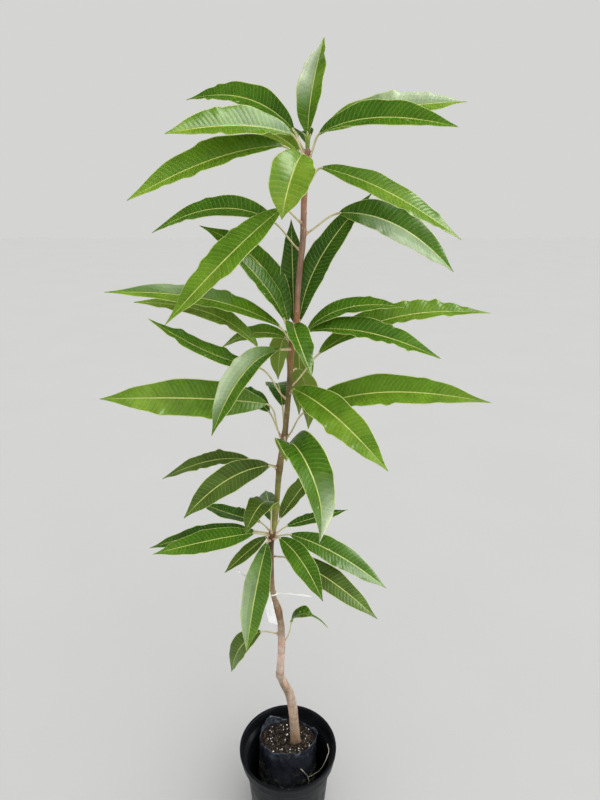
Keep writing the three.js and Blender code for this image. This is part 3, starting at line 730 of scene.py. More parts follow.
def stem_skin(scar, fissure):
    """Rings round the stem's centre line. The radius is the stem's own, with fine cracks that run along it, a
    shelf under each leaf stalk with a small bud over it, half-moon scars of fallen leaves, crowded rings of
    scale scars where each season's growth began, swollen nodes lower down, single marks, and roots that
    spread at its foot."""
    z = np.linspace(STEM[0][0] - 5, STEM[-1][0] + 0.5, STEM_ROWS)
    turn = np.arange(STEM_SIDES) * TAU / STEM_SIDES
    x, y, radius = stem_values(z)
    height, angle = np.meshgrid(z, turn, indexing="ij")
    round_it = np.stack([np.cos(angle), np.sin(angle), 0 * angle], -1)
    skin = round_it * radius[:, None, None]
    skin[..., 2] = height
    cracks = ripple(skin * [1.0, 1.0, 0.12], 1.7, 3) + 0.6 * ripple(skin * [1.0, 1.0, 0.3], 0.9, 4)
    lumps = ripple(skin * [1.0, 1.0, 0.5], 14.0, 5)
    coarse = 0.5 + 0.5 * np.clip((560 - height) / 200, 0, 1)
    relief = fissure * coarse * cracks + 0.20 * lumps * np.clip(radius / 6, 0.5, 1.3)[:, None]
    for whorl in WHORLS.values():
        for leaf in whorl:
            for above, out, tall, wide in LEAF_MARKS:
                relief += out * bump_on_stem(height, angle, leaf[HEIGHT] + above, leaf[TURN], tall, wide)
    rng = np.random.default_rng(11)
    for at in np.concatenate([rng.uniform(*stretch) for stretch in OLD_SCARS]):
        around = rng.uniform(0, 360)
        relief += scar * bump_on_stem(height, angle, at, around, 1.5, 0.34)
        relief -= 1.1 * scar * bump_on_stem(height, angle, at + 1.1, around, 0.7, 0.22)
    ridges = np.sin(TAU * height / 1.9 + 0.8 * ripple(skin, 6.0, 7))
    for start, end in GROWTH_RINGS:
        relief += 0.22 * ridges * np.clip((height - start) / 3, 0, 1) * np.clip((end - height) / 3, 0, 1)
    for at in rng.uniform(*SWOLLEN_NODES):
        relief += 0.5 * bump_on_stem(height, angle, at, rng.uniform(0, 360), 1.6, 1.2)
    for at, around, out, tall, wide in STEM_MARKS:
        relief += out * bump_on_stem(height, angle, at, around, tall, wide)
    roots = np.cos(3 * angle + 0.7) + 0.6 * np.cos(5 * angle + 2.0)
    relief += 0.8 * roots * np.exp(-(height - STEM[0][0]) / 7.0)
    rings = round_it * (radius[:, None] + relief)[..., None]
    rings[..., 0] += x[:, None]
    rings[..., 1] += y[:, None]
    rings[..., 2] = height
    return rings


class SAPLING_OT_stem(bpy.types.Operator):
    """Build the stem with its bark."""

    bl_idname = "sapling.stem"
    bl_label = "Stem"

    def execute(self, context):
        look = context.scene.sapling_stem
        skin = Skin()
        skin.loft(stem_skin(look.scar / MM, look.fissure / MM))
        place(skin.mesh("stem_bark", [bark_finish()]), "bark", "trunk")
        return {"FINISHED"}


# ------------------------------------------------------------------ leaves

# The blade's greens are a ladder with three steps between each two of deep, mid, fresh and young. Lime is
# half way between fresh and young. Then comes old, with two darker and two lighter steps beside it. A leaf's
# tone is the step that it starts from.
# Deep is also the tone of the leaves at the back of the crown that stand in shade, so there it is partly
# painted shade.
TONES = {"deep": 0, "mid": 4, "fresh": 8, "lime": 10, "young": 12, "old": 15}
OLD_FROM = 13
OLD_SHADES = (0.78, 0.88, 1.0, 1.13, 1.27)
STEPS_OF_GREEN = OLD_FROM + len(OLD_SHADES)
LEAF_ROUGHNESS = 0.27
OLD_ROUGHNESS = 0.32
# How far a side vein's colour goes from its green to the midrib's.
VEIN_PALE = 0.26
# The slots: the greens, then the side veins in the same greens, then these.
# The painted sheen's slots start at the last of these: pale greens that stand for the gloss of the light.
RIB, EDGE, UNDER, MARK, PAINTED_SHEEN = (2 * STEPS_OF_GREEN + k for k in range(5))

# Straight steps that a midrib is added up from.
MIDRIB_STEPS = 160
# Millimetres of edge that one of its long waves takes up, and the blade's length from which it waves in full.
WAVE_LENGTH = 46
WAVES_FULL_FROM = 130
# Where the rows of faces start in the stretch from one side vein to the next: the vein is the first row.
VEIN_ROWS = np.array([0.0, 0.085, 0.38, 0.69])
# Lines across half a blade, from the midrib to the edge, as a share of the half's width.
HALF_LINES = np.array([0.032, 0.11, 0.25, 0.4, 0.55, 0.7, 0.83, 0.92, 0.965, 1.0])


def greens(look):
    """The colours of the ladder, from dark to light, and then those of the old leaves."""
    named = np.array([getattr(look, tone) for tone in ("deep", "mid", "fresh", "young")])
    at = np.arange(OLD_FROM) / 4
    ladder = np.stack([np.interp(at, np.arange(4), named[:, k]) for k in range(3)], -1)
    old = np.array(look.old) * np.array(OLD_SHADES)[:, None]
    return [tuple(colour) for colour in np.concatenate([ladder, old])]


def aim(rise, turn):
    """The direction at a rise and a turn, both in radians."""
    flat = np.cos(rise)
    return np.stack([flat * np.cos(turn), flat * np.sin(turn), np.sin(rise) + 0 * turn], -1)


def blade_rise(leaf, share):
    """How steeply the midrib climbs at a share of its length."""
    return np.radians(leaf[END] + (leaf[START] - leaf[END]) * np.clip(1 - share, 0, 1) ** 1.6)


def blade_turn(leaf, share):
    """The midrib's turn at a share of its length."""
    return np.radians(leaf[TURN] + leaf[SWING] * share)


def leaf_foot(leaf):
    """Where the stalk leaves the stem's middle, and where the blade starts."""
    x, y, radius = stem_values(leaf[HEIGHT])
    middle = np.array([x, y, leaf[HEIGHT]], float)
    return middle, float(radius), middle + leaf[STALK] * aim(np.radians(leaf[RISE]), np.radians(leaf[TURN]))


def curl_at(share, at, wide):
    """A curl along an edge: a bell about its place, times a cosine that gives it a dip on either side."""
    return np.exp(-((share - at) / wide) ** 2) * np.cos(2.6 * (share - at) / wide)


def blade(leaf, look, seed, curls, painted_sheen, tail):
    """A blade as one closed skin. Its rows lean forward from the midrib to the edge, so they run along the
    side veins. Across, a row is the midrib's point plus a share of the half width along a line that is rolled
    about the midrib and folded up by the fold angle. On top of that the edge has long waves and short curls,
    the blade swells between the veins, and the midrib stands out below. The half width is a lance shape: the
    share of the length to the power 0.82 as a part of half a turn, and that turn's sine to the power 0.85. It
    narrows further from the share where the tail starts."""
    rng = np.random.default_rng(seed)
    length, width = leaf[LENGTH], leaf[WIDTH]
    veins = max(4, round(length * MM / look.vein_gap))
    row = np.append((np.arange(veins)[:, None] + VEIN_ROWS).ravel(), veins) / veins
    across = np.concatenate([-HALF_LINES[::-1], HALF_LINES])
    b = np.concatenate([across, across[::-1]])[None, :]
    top = np.concatenate([np.ones(len(across)), -np.ones(len(across))])[None, :]
    out = np.abs(b)
    lean = 0.062 * out ** 1.3 * np.sin(np.pi * row[:, None])
    share = np.clip(row[:, None] + lean, 0, 1)

    fine = np.linspace(0, 1, MIDRIB_STEPS + 1)
    middle_of = (fine[1:] + fine[:-1]) / 2
    steps = aim(blade_rise(leaf, middle_of), blade_turn(leaf, middle_of)) * length / MIDRIB_STEPS
    line = np.concatenate([[leaf_foot(leaf)[2]], steps]).cumsum(0)
    middle = np.stack([np.interp(share, fine, line[:, k]) for k in range(3)], -1)

    turn = blade_turn(leaf, share)
    along = aim(blade_rise(leaf, share), turn)
    side = np.stack([np.sin(turn), -np.cos(turn), 0 * turn], -1)
    face = np.cross(side, along)
    face /= np.linalg.norm(face, axis=-1)[..., None]
    twist = np.radians(leaf[ROLL] + rng.uniform(-7, 7) * (share - 0.4))[..., None]
    side, face = side * np.cos(twist) + face * np.sin(twist), face * np.cos(twist) - side * np.sin(twist)

    drawn_out = np.clip((share - tail) / TAIL_OVER, 0, 1)
    lance = np.sin(np.pi * np.clip(share, 0, 1) ** 0.82) ** 0.85
    narrow = min(0.88, rng.uniform(0.3, 0.6) + 1.1 * (TAIL_FROM - tail))
    lance *= 1 - narrow * drawn_out ** 2 * (3 - 2 * drawn_out)
    edge_drift = 1 + 0.035 * np.sin(TAU * 3.1 * share + rng.uniform(0, TAU) + np.sign(b))
    neck = 1.15 * (1 - share) ** 2
    half = np.sqrt((lance * width / 2 * edge_drift) ** 2 + neck ** 2) + 0.12
    open_angle = np.radians(leaf[FOLD]) * (1.1 - 0.35 * share)
    phase = np.where(b > 0, rng.uniform(0, TAU), rng.uniform(0, TAU))
    count = length / WAVE_LENGTH * rng.uniform(0.85, 1.15)
    slow = np.sin(TAU * count * share + phase)
    ruffles = 0 * share
    for edge in (-1, 1, 1 if rng.uniform() > 0.5 else -1):
        at, wide = rng.uniform(0.25, 0.85), rng.uniform(7, 12) / length
        ruffles = ruffles + np.where(b * edge > 0, rng.uniform(0.7, 2.0) * curl_at(share, at, wide), 0)
    size = look.wave / MM * min(1.0, length / WAVES_FULL_FROM) * rng.uniform(0.75, 1.25)
    wave = size * (0.55 * out ** 2.2 * slow + out ** 2.8 * ruffles) * lance ** 0.7
    for edge, at, wide, lift in curls:
        curl = np.where(b * edge > 0, curl_at(share, at, wide / length), 0)
        wave = wave + lift * curl * out ** 2.4
        half = half * (1 + 0.07 * curl)
    beat = (row * veins) % 1.0
    swell = np.clip((beat - VEIN_ROWS[1]) / (1 - VEIN_ROWS[1]), 0, 1)
    swell = np.sin(np.pi * swell)[:, None] * look.quilt / MM * np.clip(lance * 1.5, 0, 1)
    swell = swell * np.clip(out / 0.12 - 0.3, 0, 1) * np.clip((1 - out) / 0.12, 0, 1)
    arch = -0.09 * half * out ** 2
    on_rib = np.exp(-(out * half / 0.95) ** 2)
    rib = on_rib * np.where(top > 0, 0.12, 1.35 * (1 - share) ** 0.8 + 0.25)
    thick = look.thickness / MM / 2 * (1 - 0.45 * out ** 6)
    up = half * out * np.sin(open_angle) + arch + wave + swell + top * (thick + rib)
    rings = middle + side * (b * half * np.cos(open_angle))[..., None] + face * up[..., None]

    columns = len(across)
    return rings, blade_slots(leaf, row[:-1], veins, columns, rng, painted_sheen)


def blade_slots(leaf, row, veins, columns, rng, painted_sheen):
    """The slot of each face of a blade. From one side vein to the next the green is one step of the ladder:
    darker towards the stalk, lighter towards the tip and, as painted light, one step lighter on the half that
    hangs lower, and never off the leaf's own part of the ladder. The side veins, the midrib, the edge and the
    underside have their own slots, and a few faces are pale marks left by insects. A painted sheen, pale
    faces that stand for the gloss of the light on one half, sets in by steps along the blade and towards its
    edge."""
    start = TONES[leaf[TONE]]
    lowest, highest = (OLD_FROM, STEPS_OF_GREEN - 1) if leaf[TONE] == "old" else (0, OLD_FROM - 1)
    between = np.floor(row * veins + 1e-6) / veins
    drift = 3.6 * (between - 0.45) + 0.7 * np.sin(TAU * 1.7 * between + rng.uniform(0, TAU))
    drift = np.round(np.clip(drift, -2, 2))[:, None] + np.zeros((1, columns - 1))
    half = np.where(np.arange(columns - 1) < columns // 2, -1, 1)
    # Painted light: the half of a rolled blade that hangs lower is one step lighter.
    drift = drift + (half * np.sign(leaf[ROLL]) < 0) * (abs(leaf[ROLL]) > 20)
    step = np.clip(start + drift, lowest, highest).astype(int)
    step[::len(VEIN_ROWS)] += STEPS_OF_GREEN
    slots = np.full((len(row), 2 * columns), UNDER)
    slots[:, :columns - 1] = step
    inner = np.arange(3, columns - 4)
    for _ in range(rng.integers(0, 3) if leaf[TONE] == "mid" else 0):
        slots[rng.integers(len(row) // 4, len(row) * 3 // 4), rng.choice(inner)] = MARK
    # Painted sheen: pale faces on one half that stand for the gloss of the light, stronger towards the edge.
    if painted_sheen:
        edge, first, last, most = painted_sheen
        strength = most * np.clip((row - first) / 0.3, 0, 1) * np.clip((last - row) / 0.3, 0, 1)
        out = np.arange(columns - 1) - columns // 2 + 1
        outward = np.clip(0.45 + 0.75 * edge * out / len(HALF_LINES), 0, 1) * (half == edge)
        level = np.round(PAINTED_SHEEN_STEPS * strength[:, None] * outward).astype(int)
        level[::len(VEIN_ROWS)] -= 1
        slots[:, :columns - 1] = np.where(level > 0, PAINTED_SHEEN + level - 1, slots[:, :columns - 1])
    slots[:, [columns // 2 - 1, columns + columns // 2 - 1]] = RIB
    slots[:, [0, columns - 2, columns - 1, columns, 2 * columns - 2, 2 * columns - 1]] = EDGE
    return slots


def stalk(leaf):
    """A stalk as rings along a cubic bend, from inside the stem to just inside the blade. Its foot is swollen
    and it widens a little where the blade starts."""
    middle, radius, blade_start = leaf_foot(leaf)
    turn = np.radians(leaf[TURN])
    out = aim(0.0, turn)
    start = middle + out * (radius - 1.2)
    end = blade_start + 2.5 * aim(blade_rise(leaf, 0.0), turn)
    reach = np.linalg.norm(end - start)
    first = start + 0.35 * reach * aim(np.radians(leaf[RISE]) * 0.8, turn)
    second = end - 0.35 * reach * aim(blade_rise(leaf, 0.0), turn)
    s = np.linspace(0, 1, 22)[:, None]
    path = (start * (1 - s) ** 3 + first * 3 * s * (1 - s) ** 2
            + second * 3 * s ** 2 * (1 - s) + end * s ** 3)
    s = s[:, 0]
    girth = min(1.0, leaf[LENGTH] / 90)
    thick = 1.12 + 1.0 * np.exp(-(s * reach / 4.5) ** 2) + 0.28 * np.clip(s * 3 - 2, 0, 1) ** 2
    rings = tube(path, thick * girth)
    foot = s[:-1] * reach < max(5.0, 0.15 * reach)
    slots = np.broadcast_to(np.where(foot, 1, 0)[:, None], (len(s) - 1, rings.shape[1]))
    return rings, slots


class SAPLING_OT_leaves(bpy.types.Operator):
    """Build the blades of every whorl, with their ribs, side veins and pale edges."""

    bl_idname = "sapling.leaves"
    bl_label = "Leaves"

    def execute(self, context):
        look = context.scene.sapling_leaves
        tones, veins = [], []
        for number, colour in enumerate(greens(look)):
            rough = OLD_ROUGHNESS if number >= OLD_FROM else LEAF_ROUGHNESS
            tones.append(blade_finish(f"leaf_green_{number}", colour, rough))
            pale = tuple((1 - VEIN_PALE) * a + VEIN_PALE * b for a, b in zip(colour, look.rib))
            veins.append(blade_finish(f"side_vein_{number}", pale, rough))
        others = [
            stalk_finish("leaf_rib", look.rib),
            stalk_finish("leaf_edge", look.edge),
            blade_finish("leaf_underside", look.under, 0.5),
            pale_finish("insect_mark", look.mark, 0.5),
        ]
        # The painted sheen's greens, from between mid and fresh towards the sheen colour; they stand for the
        # gloss of the light.
        for number in range(PAINTED_SHEEN_STEPS):
            share = ((number + 1) / PAINTED_SHEEN_STEPS) ** 1.6
            green = np.add(look.mid, look.fresh) / 2
            pale = tuple((1 - share) * green + share * np.array(look.painted_sheen))
            others.append(blade_finish(f"bloom_{number}", pale, 0.4))
        for number, (node, whorl) in enumerate(WHORLS.items()):
            skin = Skin()
            leaves = whorl + (BUD if node == "foliage_top" else [])
            for k, leaf in enumerate(leaves):
                own = CURLS.get((node, k), ()), PAINTED_SHEENS.get((node, k)), TAILS.get((node, k), TAIL_FROM)
                skin.loft(*blade(leaf, look, 100 * number + k, *own))
            slot = frame_slot(node)
            place(skin.mesh(f"{node}_blades", tones + veins + others), slot, node)
        return {"FINISHED"}


def frame_slot(node):
    """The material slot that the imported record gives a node."""
    for part in frame["record"]["subparts"]:
        if part["node"] == node:
            return part["material_slot"]
    raise RuntimeError(f"the record has no node {node}")


class SAPLING_OT_stalks(bpy.types.Operator):
    """Build the stalks that carry the blades on the stem."""

    bl_idname = "sapling.stalks"
    bl_label = "Leaf stalks"

    def execute(self, context):
        look = context.scene.sapling_stem
        finishes = [stalk_finish("leaf_stalk", look.stalk), stalk_finish("stalk_foot", look.stalk_foot, 0.55)]
        for node, whorl in WHORLS.items():
            skin = Skin()
            for leaf in whorl:
                skin.loft(*stalk(leaf))
            place(skin.mesh(f"{node}_stalks", finishes), frame_slot(node), node)
        return {"FINISHED"}


# ------------------------------------------------------------------ bag and soil

def peaks_at(turn, column):
    """What one column of the film's peaks adds at turns: a bell curve about each peak's turn."""
    total = 0 * turn
    for peak in BAG["peaks"]:
        at, spread = peak[:2]
        away = np.abs((np.degrees(turn) - at + 540) % 360 - 180)
        total = total + peak[column] * np.exp(-(away / spread) ** 2)
    return total


def bag_wall(turn, z, inset):
    """Points of the bag's wall at turns and heights: an oval whose middle and half sizes change evenly from
    the foot to the top, with a belly at half height and waves that wind round it. Above the mix it flares out
    at its peaks. inset draws it in."""
    share = (z - BAG["foot"]) / (BAG["top_height"] - BAG["foot"])
    x, y, wide, deep = (a + (b - a) * share for a, b in zip(BAG["base"], BAG["top"]))
    waves = np.sin(5 * turn + 7 * share) + 0.7 * np.sin(9 * turn - 5 * share)
    hump = np.sin(np.pi * np.minimum(share, 1))
    swell = (1 + BAG["belly"] * hump) * (1 + BAG["crease"] * waves * (0.4 + 0.6 * hump))
    t = np.clip((z - SOIL_TOP) / (BAG["top_height"] + 6 - SOIL_TOP), 0, 1)
    outward = peaks_at(turn, PEAK_FLARE) * t * t * (3 - 2 * t) - inset
    x = x + (wide * swell + outward) * np.cos(turn)
    y = y + (deep * swell + outward) * np.sin(turn)
    return np.stack([x, y, z + 0 * turn], -1)


FILM_ROWS = 70
FILM_SIDES = 200
FILM_THICKNESS = 0.7


def film_skin(crumple):
    """The film, up its outside to the mouth and down its inside to its floor. Creases draw it in: sharp ones
    that run down from the mouth, and crossing folds lower down."""
    turn = np.arange(FILM_SIDES) * TAU / FILM_SIDES
    mouth = (BAG["top_height"] + peaks_at(turn, PEAK_RISE)
             + 0.7 * np.sin(7 * turn) + 0.5 * np.sin(17 * turn + 1))
    share = np.linspace(0, 1, FILM_ROWS)[:, None]
    sheets = []
    for inset, order in ((0.0, 1), (FILM_THICKNESS, -1)):
        foot = BAG["foot"] + inset
        z = foot + (mouth[None] - foot) * share
        around = turn[None] + 0 * z
        flat = bag_wall(around, z, 0.0)
        down = np.abs(ripple(flat * [1.0, 1.0, 0.22], 15.0, 21)) ** 0.6
        down = down * (1 + 0.3 * np.clip((z - 104) / 14, 0, 1))
        folds = np.abs(ripple(flat * [0.35, 0.35, 1.5], 17.0, 22)) ** 0.7
        fine = ripple(flat, 7.0, 23)
        lower = np.clip((95 - z) / 60, 0, 1)
        pull = crumple * ((1 - 0.75 * lower) * down + 0.9 * lower * folds + 0.22 * fine) + 0.1
        sheets.append(bag_wall(around, z, inset + np.clip(pull, 0, None))[::order])
    return np.concatenate(sheets)


class SAPLING_OT_bag(bpy.types.Operator):
    """Build the nursery bag of creased film."""

    bl_idname = "sapling.bag"
    bl_label = "Nursery bag"

    def execute(self, context):
        look = context.scene.sapling_pot
        skin = Skin()
        skin.loft(film_skin(look.crumple / MM))
        place(skin.mesh("bag_film", [film_finish(look.film)]), "bag_film", "root_bag")
        return {"FINISHED"}


def soil_height(points):
    """The soil's surface: level, a little lower at the film, with a hollow left of the stem and lumps of
    three sizes."""
    x, y, _ = stem_values(STEM[0][0])
    reach = np.hypot(points[..., 0] - x, points[..., 1] - y)
    near_film = np.clip((reach - 14) / 40, 0, 1)
    flat = points * [1.0, 1.0, 0.0]
    lumps = 0.8 * ripple(flat, 13.0, 31) + 0.45 * ripple(flat, 5.0, 32) + 0.25 * ripple(flat, 2.6, 33)
    hollow = 3.2 * np.exp(-((points[..., 0] - x + 11) ** 2 + (points[..., 1] - y - 1) ** 2) / 80)
    return SOIL_TOP + 0.3 - (SOIL_TOP - SOIL_EDGE) * near_film ** 2 + 0.75 * lumps - hollow


SOIL_SIDES = 160


def soil_skin():
    """The root ball: up the inside of the film, and over its top in rings that shrink to the stem's foot."""
    turn = np.arange(SOIL_SIDES) * TAU / SOIL_SIDES
    z = np.linspace(BAG["foot"] + 1.0, SOIL_EDGE - 1.5, 14)[:, None]
    sides = bag_wall(turn[None] + 0 * z, z + 0 * turn[None], 2.9)
    edge = bag_wall(turn, SOIL_EDGE + 0 * turn, 2.4)
    x, y, _ = stem_values(STEM[0][0])
    centre = np.array([x, y, SOIL_TOP], float)
    share = np.linspace(0, 0.97, 50)[:, None, None]
    top = edge[None] * (1 - share) + centre * share
    top[..., 2] = soil_height(top)
    return np.concatenate([sides, top])


# A rough twenty-faced grain.
GOLDEN = (1 + 5 ** 0.5) / 2
GRAIN_POINTS = np.array([
    (-1, GOLDEN, 0), (1, GOLDEN, 0), (-1, -GOLDEN, 0), (1, -GOLDEN, 0),
    (0, -1, GOLDEN), (0, 1, GOLDEN), (0, -1, -GOLDEN), (0, 1, -GOLDEN),
    (GOLDEN, 0, -1), (GOLDEN, 0, 1), (-GOLDEN, 0, -1), (-GOLDEN, 0, 1),
]) / np.hypot(1, GOLDEN)
GRAIN_FACES = np.array([
    (0, 11, 5), (0, 5, 1), (0, 1, 7), (0, 7, 10), (0, 10, 11), (1, 5, 9), (5, 11, 4), (11, 10, 2), (10, 7, 6),
    (7, 1, 8), (3, 9, 4), (3, 4, 2), (3, 2, 6), (3, 6, 8), (3, 8, 9), (4, 9, 5), (2, 4, 11), (6, 2, 10),
    (8, 6, 7), (9, 8, 1),
])


def scatter(count, low, high, seed, clear, sunk):
    """Grains strewn over the soil: each one the rough grain, stretched, turned about +Z and sized at random
    from low to high, with its corners moved a little, and sunk into the surface by a share of its size. clear
    is how far they stay from the stem."""
    rng = np.random.default_rng(seed)
    turn, out = rng.uniform(0, TAU, count), np.sqrt(rng.uniform(0, 1, count))
    x, y, radius = stem_values(STEM[0][0])
    edge = bag_wall(turn, SOIL_EDGE + 0 * turn, 4.2)
    centre = np.array([x, y, 0.0])
    place_at = centre + (edge - centre) * (0.97 * out)[:, None]
    place_at[:, 2] = 0
    beside = np.hypot(*(place_at - centre)[:, :2].T) > float(radius) + clear
    place_at = place_at[beside]
    place_at[:, 2] = soil_height(place_at)
    count = len(place_at)
    size = low + (high - low) * rng.uniform(0, 1, count) ** 2.2
    stretch = rng.uniform(0.6, 1.35, (count, 1, 3)) * size[:, None, None]
    corners = GRAIN_POINTS[None] * (1 + rng.uniform(-0.25, 0.25, (count, 12, 3))) * stretch
    spin = rng.uniform(0, TAU, count)
    c, s = np.cos(spin)[:, None], np.sin(spin)[:, None]
    x, y, z = corners[..., 0], corners[..., 1], corners[..., 2]
    spun = np.stack([x * c - y * s, x * s + y * c, z], -1)
    place_at[:, 2] += size * (0.35 - sunk)
    points = spun + place_at[:, None]
    faces = (np.arange(count) * 12)[:, None, None] + GRAIN_FACES[None]
    return points.reshape(-1, 3), faces.reshape(-1, 3)


class SAPLING_OT_soil(bpy.types.Operator):
    """Build the potting mix with its crumbs and white grains."""

    bl_idname = "sapling.soil"
    bl_label = "Potting mix"

    def execute(self, context):
        look = context.scene.sapling_soil
        ground = Skin()
        ground.loft(soil_skin())
        place(ground.mesh("potting_mix", [soil_finish("potting_mix", look.colour)]), "potting_mix", "soil")
        crumbs = Skin()
        points, faces = scatter(look.crumbs, low=0.5, high=2.3, seed=41, clear=0.4, sunk=0.3)
        crumbs.add(points, faces, np.random.default_rng(42).integers(0, 3, len(faces) // 20).repeat(20))
        browns = [soil_finish(f"{name}_crumb", shade(look.colour, tone)) for name, tone in (
            ("dark", 0.6), ("brown", 1.6), ("tan", 3.2))]
        place(crumbs.mesh("mix_crumbs", browns, smooth=False), "potting_mix")
        grains = Skin()
        points, faces = scatter(look.perlite, low=0.5, high=1.9, seed=43, clear=5.0, sunk=0.25)
        grains.add(points, faces, 0)
        white = pale_finish("perlite", look.grain, 0.8, 0.5)
        place(grains.mesh("perlite_grains", [white], smooth=False), "potting_mix")
        return {"FINISHED"}


class SAPLING_OT_roots(bpy.types.Operator):
    """Build the two pale root strands outside the bag."""

    bl_idname = "sapling.roots"
    bl_label = "Root strands"

    def execute(self, context):
        skin = Skin()
        for number, points in enumerate(ROOT_STRANDS):
            path = spline(points, 60)
            path = path + 0.5 * np.stack([ripple(path, 16.0, 50 + number + k) for k in range(3)], -1)
            taper = 0.8 - 0.35 * np.linspace(0, 1, 60)
            skin.loft(tube(path, taper, 10))
        pale = pale_finish("root_skin", context.scene.sapling_soil.root, 0.6)
        place(skin.mesh("root_strands", [pale]), "potting_mix")
        return {"FINISHED"}


# ------------------------------------------------------------------ pot

def rounded(profile, reach, steps=5):
    """A closed outline with its corners eased: each corner becomes a curve that starts and ends within reach
    of it, at most 0.45 of the way to its neighbours."""
    p = np.asarray(profile, float)
    before, after = np.roll(p, 1, 0) - p, np.roll(p, -1, 0) - p
    near = [d * np.minimum(reach / np.linalg.norm(d, axis=1), 0.45)[:, None] for d in (before, after)]
    t = np.linspace(0, 1, steps)[None, :, None]
    start, corner, end = (q[:, None] for q in (p + near[0], p, p + near[1]))
    return (start * (1 - t) ** 2 + corner * 2 * t * (1 - t) + end * t ** 2).reshape(-1, 2)


def turned(profile, sides=192):
    """A closed outline of radii and heights, swept once round the pot's axis."""
    turn = np.arange(sides) * TAU / sides
    r, z = profile[:, 0], profile[:, 1]
    turn = turn[:, None]
    return np.stack([np.cos(turn) * r, np.sin(turn) * r, z + 0 * turn], -1)


def floor_sector(number, inner, outer):
    """One sector of the floor round its drain hole. Its rings go from the sector's outline over the upper
    side to the hole, down the hole and back over the underside, and each is the outline drawn in to the
    hole."""
    step = TAU / POT["holes"]
    middle = (number + 0.5) * step
    hole_at = POT["hole_circle"] * np.array([np.cos(middle), np.sin(middle)])
    s = np.linspace(0, 1, 17)[:-1]
    start, end = middle - step / 2, middle + step / 2
    same = 0 * s
    forth = start + (end - start) * s
    back = forth[::-1] + step / 16
    turn = np.concatenate([forth, end + same, back, start + same])
    inward, outward = outer + (inner - outer) * s, inner + (outer - inner) * s
    reach = np.concatenate([outer + same, inward, inner + same, outward])
    outline = reach[:, None] * np.stack([np.cos(turn), np.sin(turn)], -1)
    away = outline - hole_at
    hole = hole_at + POT["hole"] * away / np.linalg.norm(away, axis=1)[:, None]
    rings = []
    for z, shares in ((POT["floor"], (0, 0.5, 0.93, 1.0)), (0.0, (1.0, 0.93, 0.5, 0))):
        for share in shares:
            flat = outline + (hole - outline) * share
            rings.append(np.concatenate([flat, np.full((len(flat), 1), z)], -1))
    return np.array(rings)


class SAPLING_OT_pot(bpy.types.Operator):
    """Build the pot: a turned wall with a rolled lip and a floor with drain holes."""

    bl_idname = "sapling.pot"
    bl_label = "Pot"

    def execute(self, context):
        look = context.scene.sapling_pot
        p = POT
        inside = p["collar"] - p["wall"]
        outline = [
            (p["seam"], 0),
            (p["foot"], 0),
            (p["shoulder"], p["collar_bottom"] - 3.5),
            (p["collar"], p["collar_bottom"]),
            (p["collar"], p["height"] - p["lip"] - 1),
            (p["rim"], p["height"] - p["lip"]),
            (p["rim"], p["height"]),
            (inside + 0.6, p["height"]),
            (inside, p["height"] - 2),
            (inside, p["collar_bottom"] + 1),
            (p["shoulder"] - p["wall"], p["collar_bottom"] - 4.5),
            (p["foot"] - p["wall"], p["floor"]),
            (p["seam"], p["floor"]),
        ]
        skin = Skin()
        skin.loft(turned(rounded(outline, p["easing"])), looped=True)
        for number in range(p["holes"]):
            skin.loft(floor_sector(number, p["hub"], p["seam"]), looped=True)
        middle = np.array([(0.01, 0), (p["hub"], 0), (p["hub"], p["floor"]), (0.01, p["floor"])], float)
        skin.loft(turned(middle, 128), looped=True)
        place(skin.mesh("pot_body", [pot_finish(look.plastic)]), "pot_plastic", "pot")
        return {"FINISHED"}


# ------------------------------------------------------------------ tag and tie

class SAPLING_OT_tag(bpy.types.Operator):
    """Finish the blank tag and build the wire tie that it hangs on."""

    bl_idname = "sapling.tag"
    bl_label = "Tag and tie"

    def execute(self, context):
        look = context.scene.sapling_pot
        tag = frame["nodes"]["label"]
        tag.data.materials.clear()
        tag.data.materials.append(pale_finish("tag_plastic", look.tag, 0.42, 0.05))
        x, y, radius = (float(v) for v in stem_values(TIE_HEIGHT))
        reach = radius + TIE_GAP + TIE_RADIUS
        centre = np.array([x, y, TIE_HEIGHT], float)
        turn = np.arange(48) * TAU / 48
        out = np.stack([np.cos(turn), np.sin(turn), 0 * turn], -1)[:, None]
        around = (np.arange(12) * TAU / 12)[None, :, None]
        rings = centre + reach * out + TIE_RADIUS * (np.cos(around) * out + np.sin(around) * [0, 0, 1])
        skin = Skin()
        skin.loft(rings[:, ::-1], looped=True)
        for side, end, sway in ((-1, TIE_LEFT, 0.6), (1, TIE_RIGHT, 0.8)):
            start = centre + [side * reach, 0, 0]
            path = spline([start, (start + end) / 2 + [0, 0, sway], end], 30)
            skin.loft(tube(path, TIE_RADIUS * np.sqrt(np.clip(1 - np.linspace(-1, 1, 30) ** 24, 0.15, 1))))
        wire = pale_finish("tie_wire", look.tie, 0.45, 0.1)
        place(skin.mesh("tie_wire", [wire]), "tie_wire", "label_tie")
        return {"FINISHED"}


# ------------------------------------------------------------------ stage

FLOOR_SIZE = 18000
# Where the camera stands, in metres.
EYE = (0.020, -0.7232, 1.0352)

# Far soft lights of one strength everywhere: name, turn, height and width as seen from the plant in degrees,
# strength, whether gloss shows them, and whether they light what isn't gloss.
WINDOWS = (
    ("key_window", -7.0, 38.0, 36.0, 2.5, True, False),
    ("front_window", 290.0, 42.0, 80.0, 0.5, False, True),
    ("soft_key", -20.0, 46.0, 90.0, 2.0, False, True),
    ("soft_top", 240.0, 76.0, 170.0, 2.8, False, True),
)


def window(name, turn, height, wide, power, mirrored, lighting):
    """A soft light from one row of WINDOWS."""
    light = bpy.data.lights.new(name, "SUN")
    light.angle = np.radians(wide)
    light.energy = power
    lamp = add_to_scene(name, light)
    toward = aim(np.radians(height), np.radians(turn))
    lamp.location = 3.0 * toward
    lamp.visible_glossy = mirrored
    lamp.visible_diffuse = lighting
    lamp.rotation_euler = Vector(-toward).to_track_quat("-Z", "Y").to_euler()


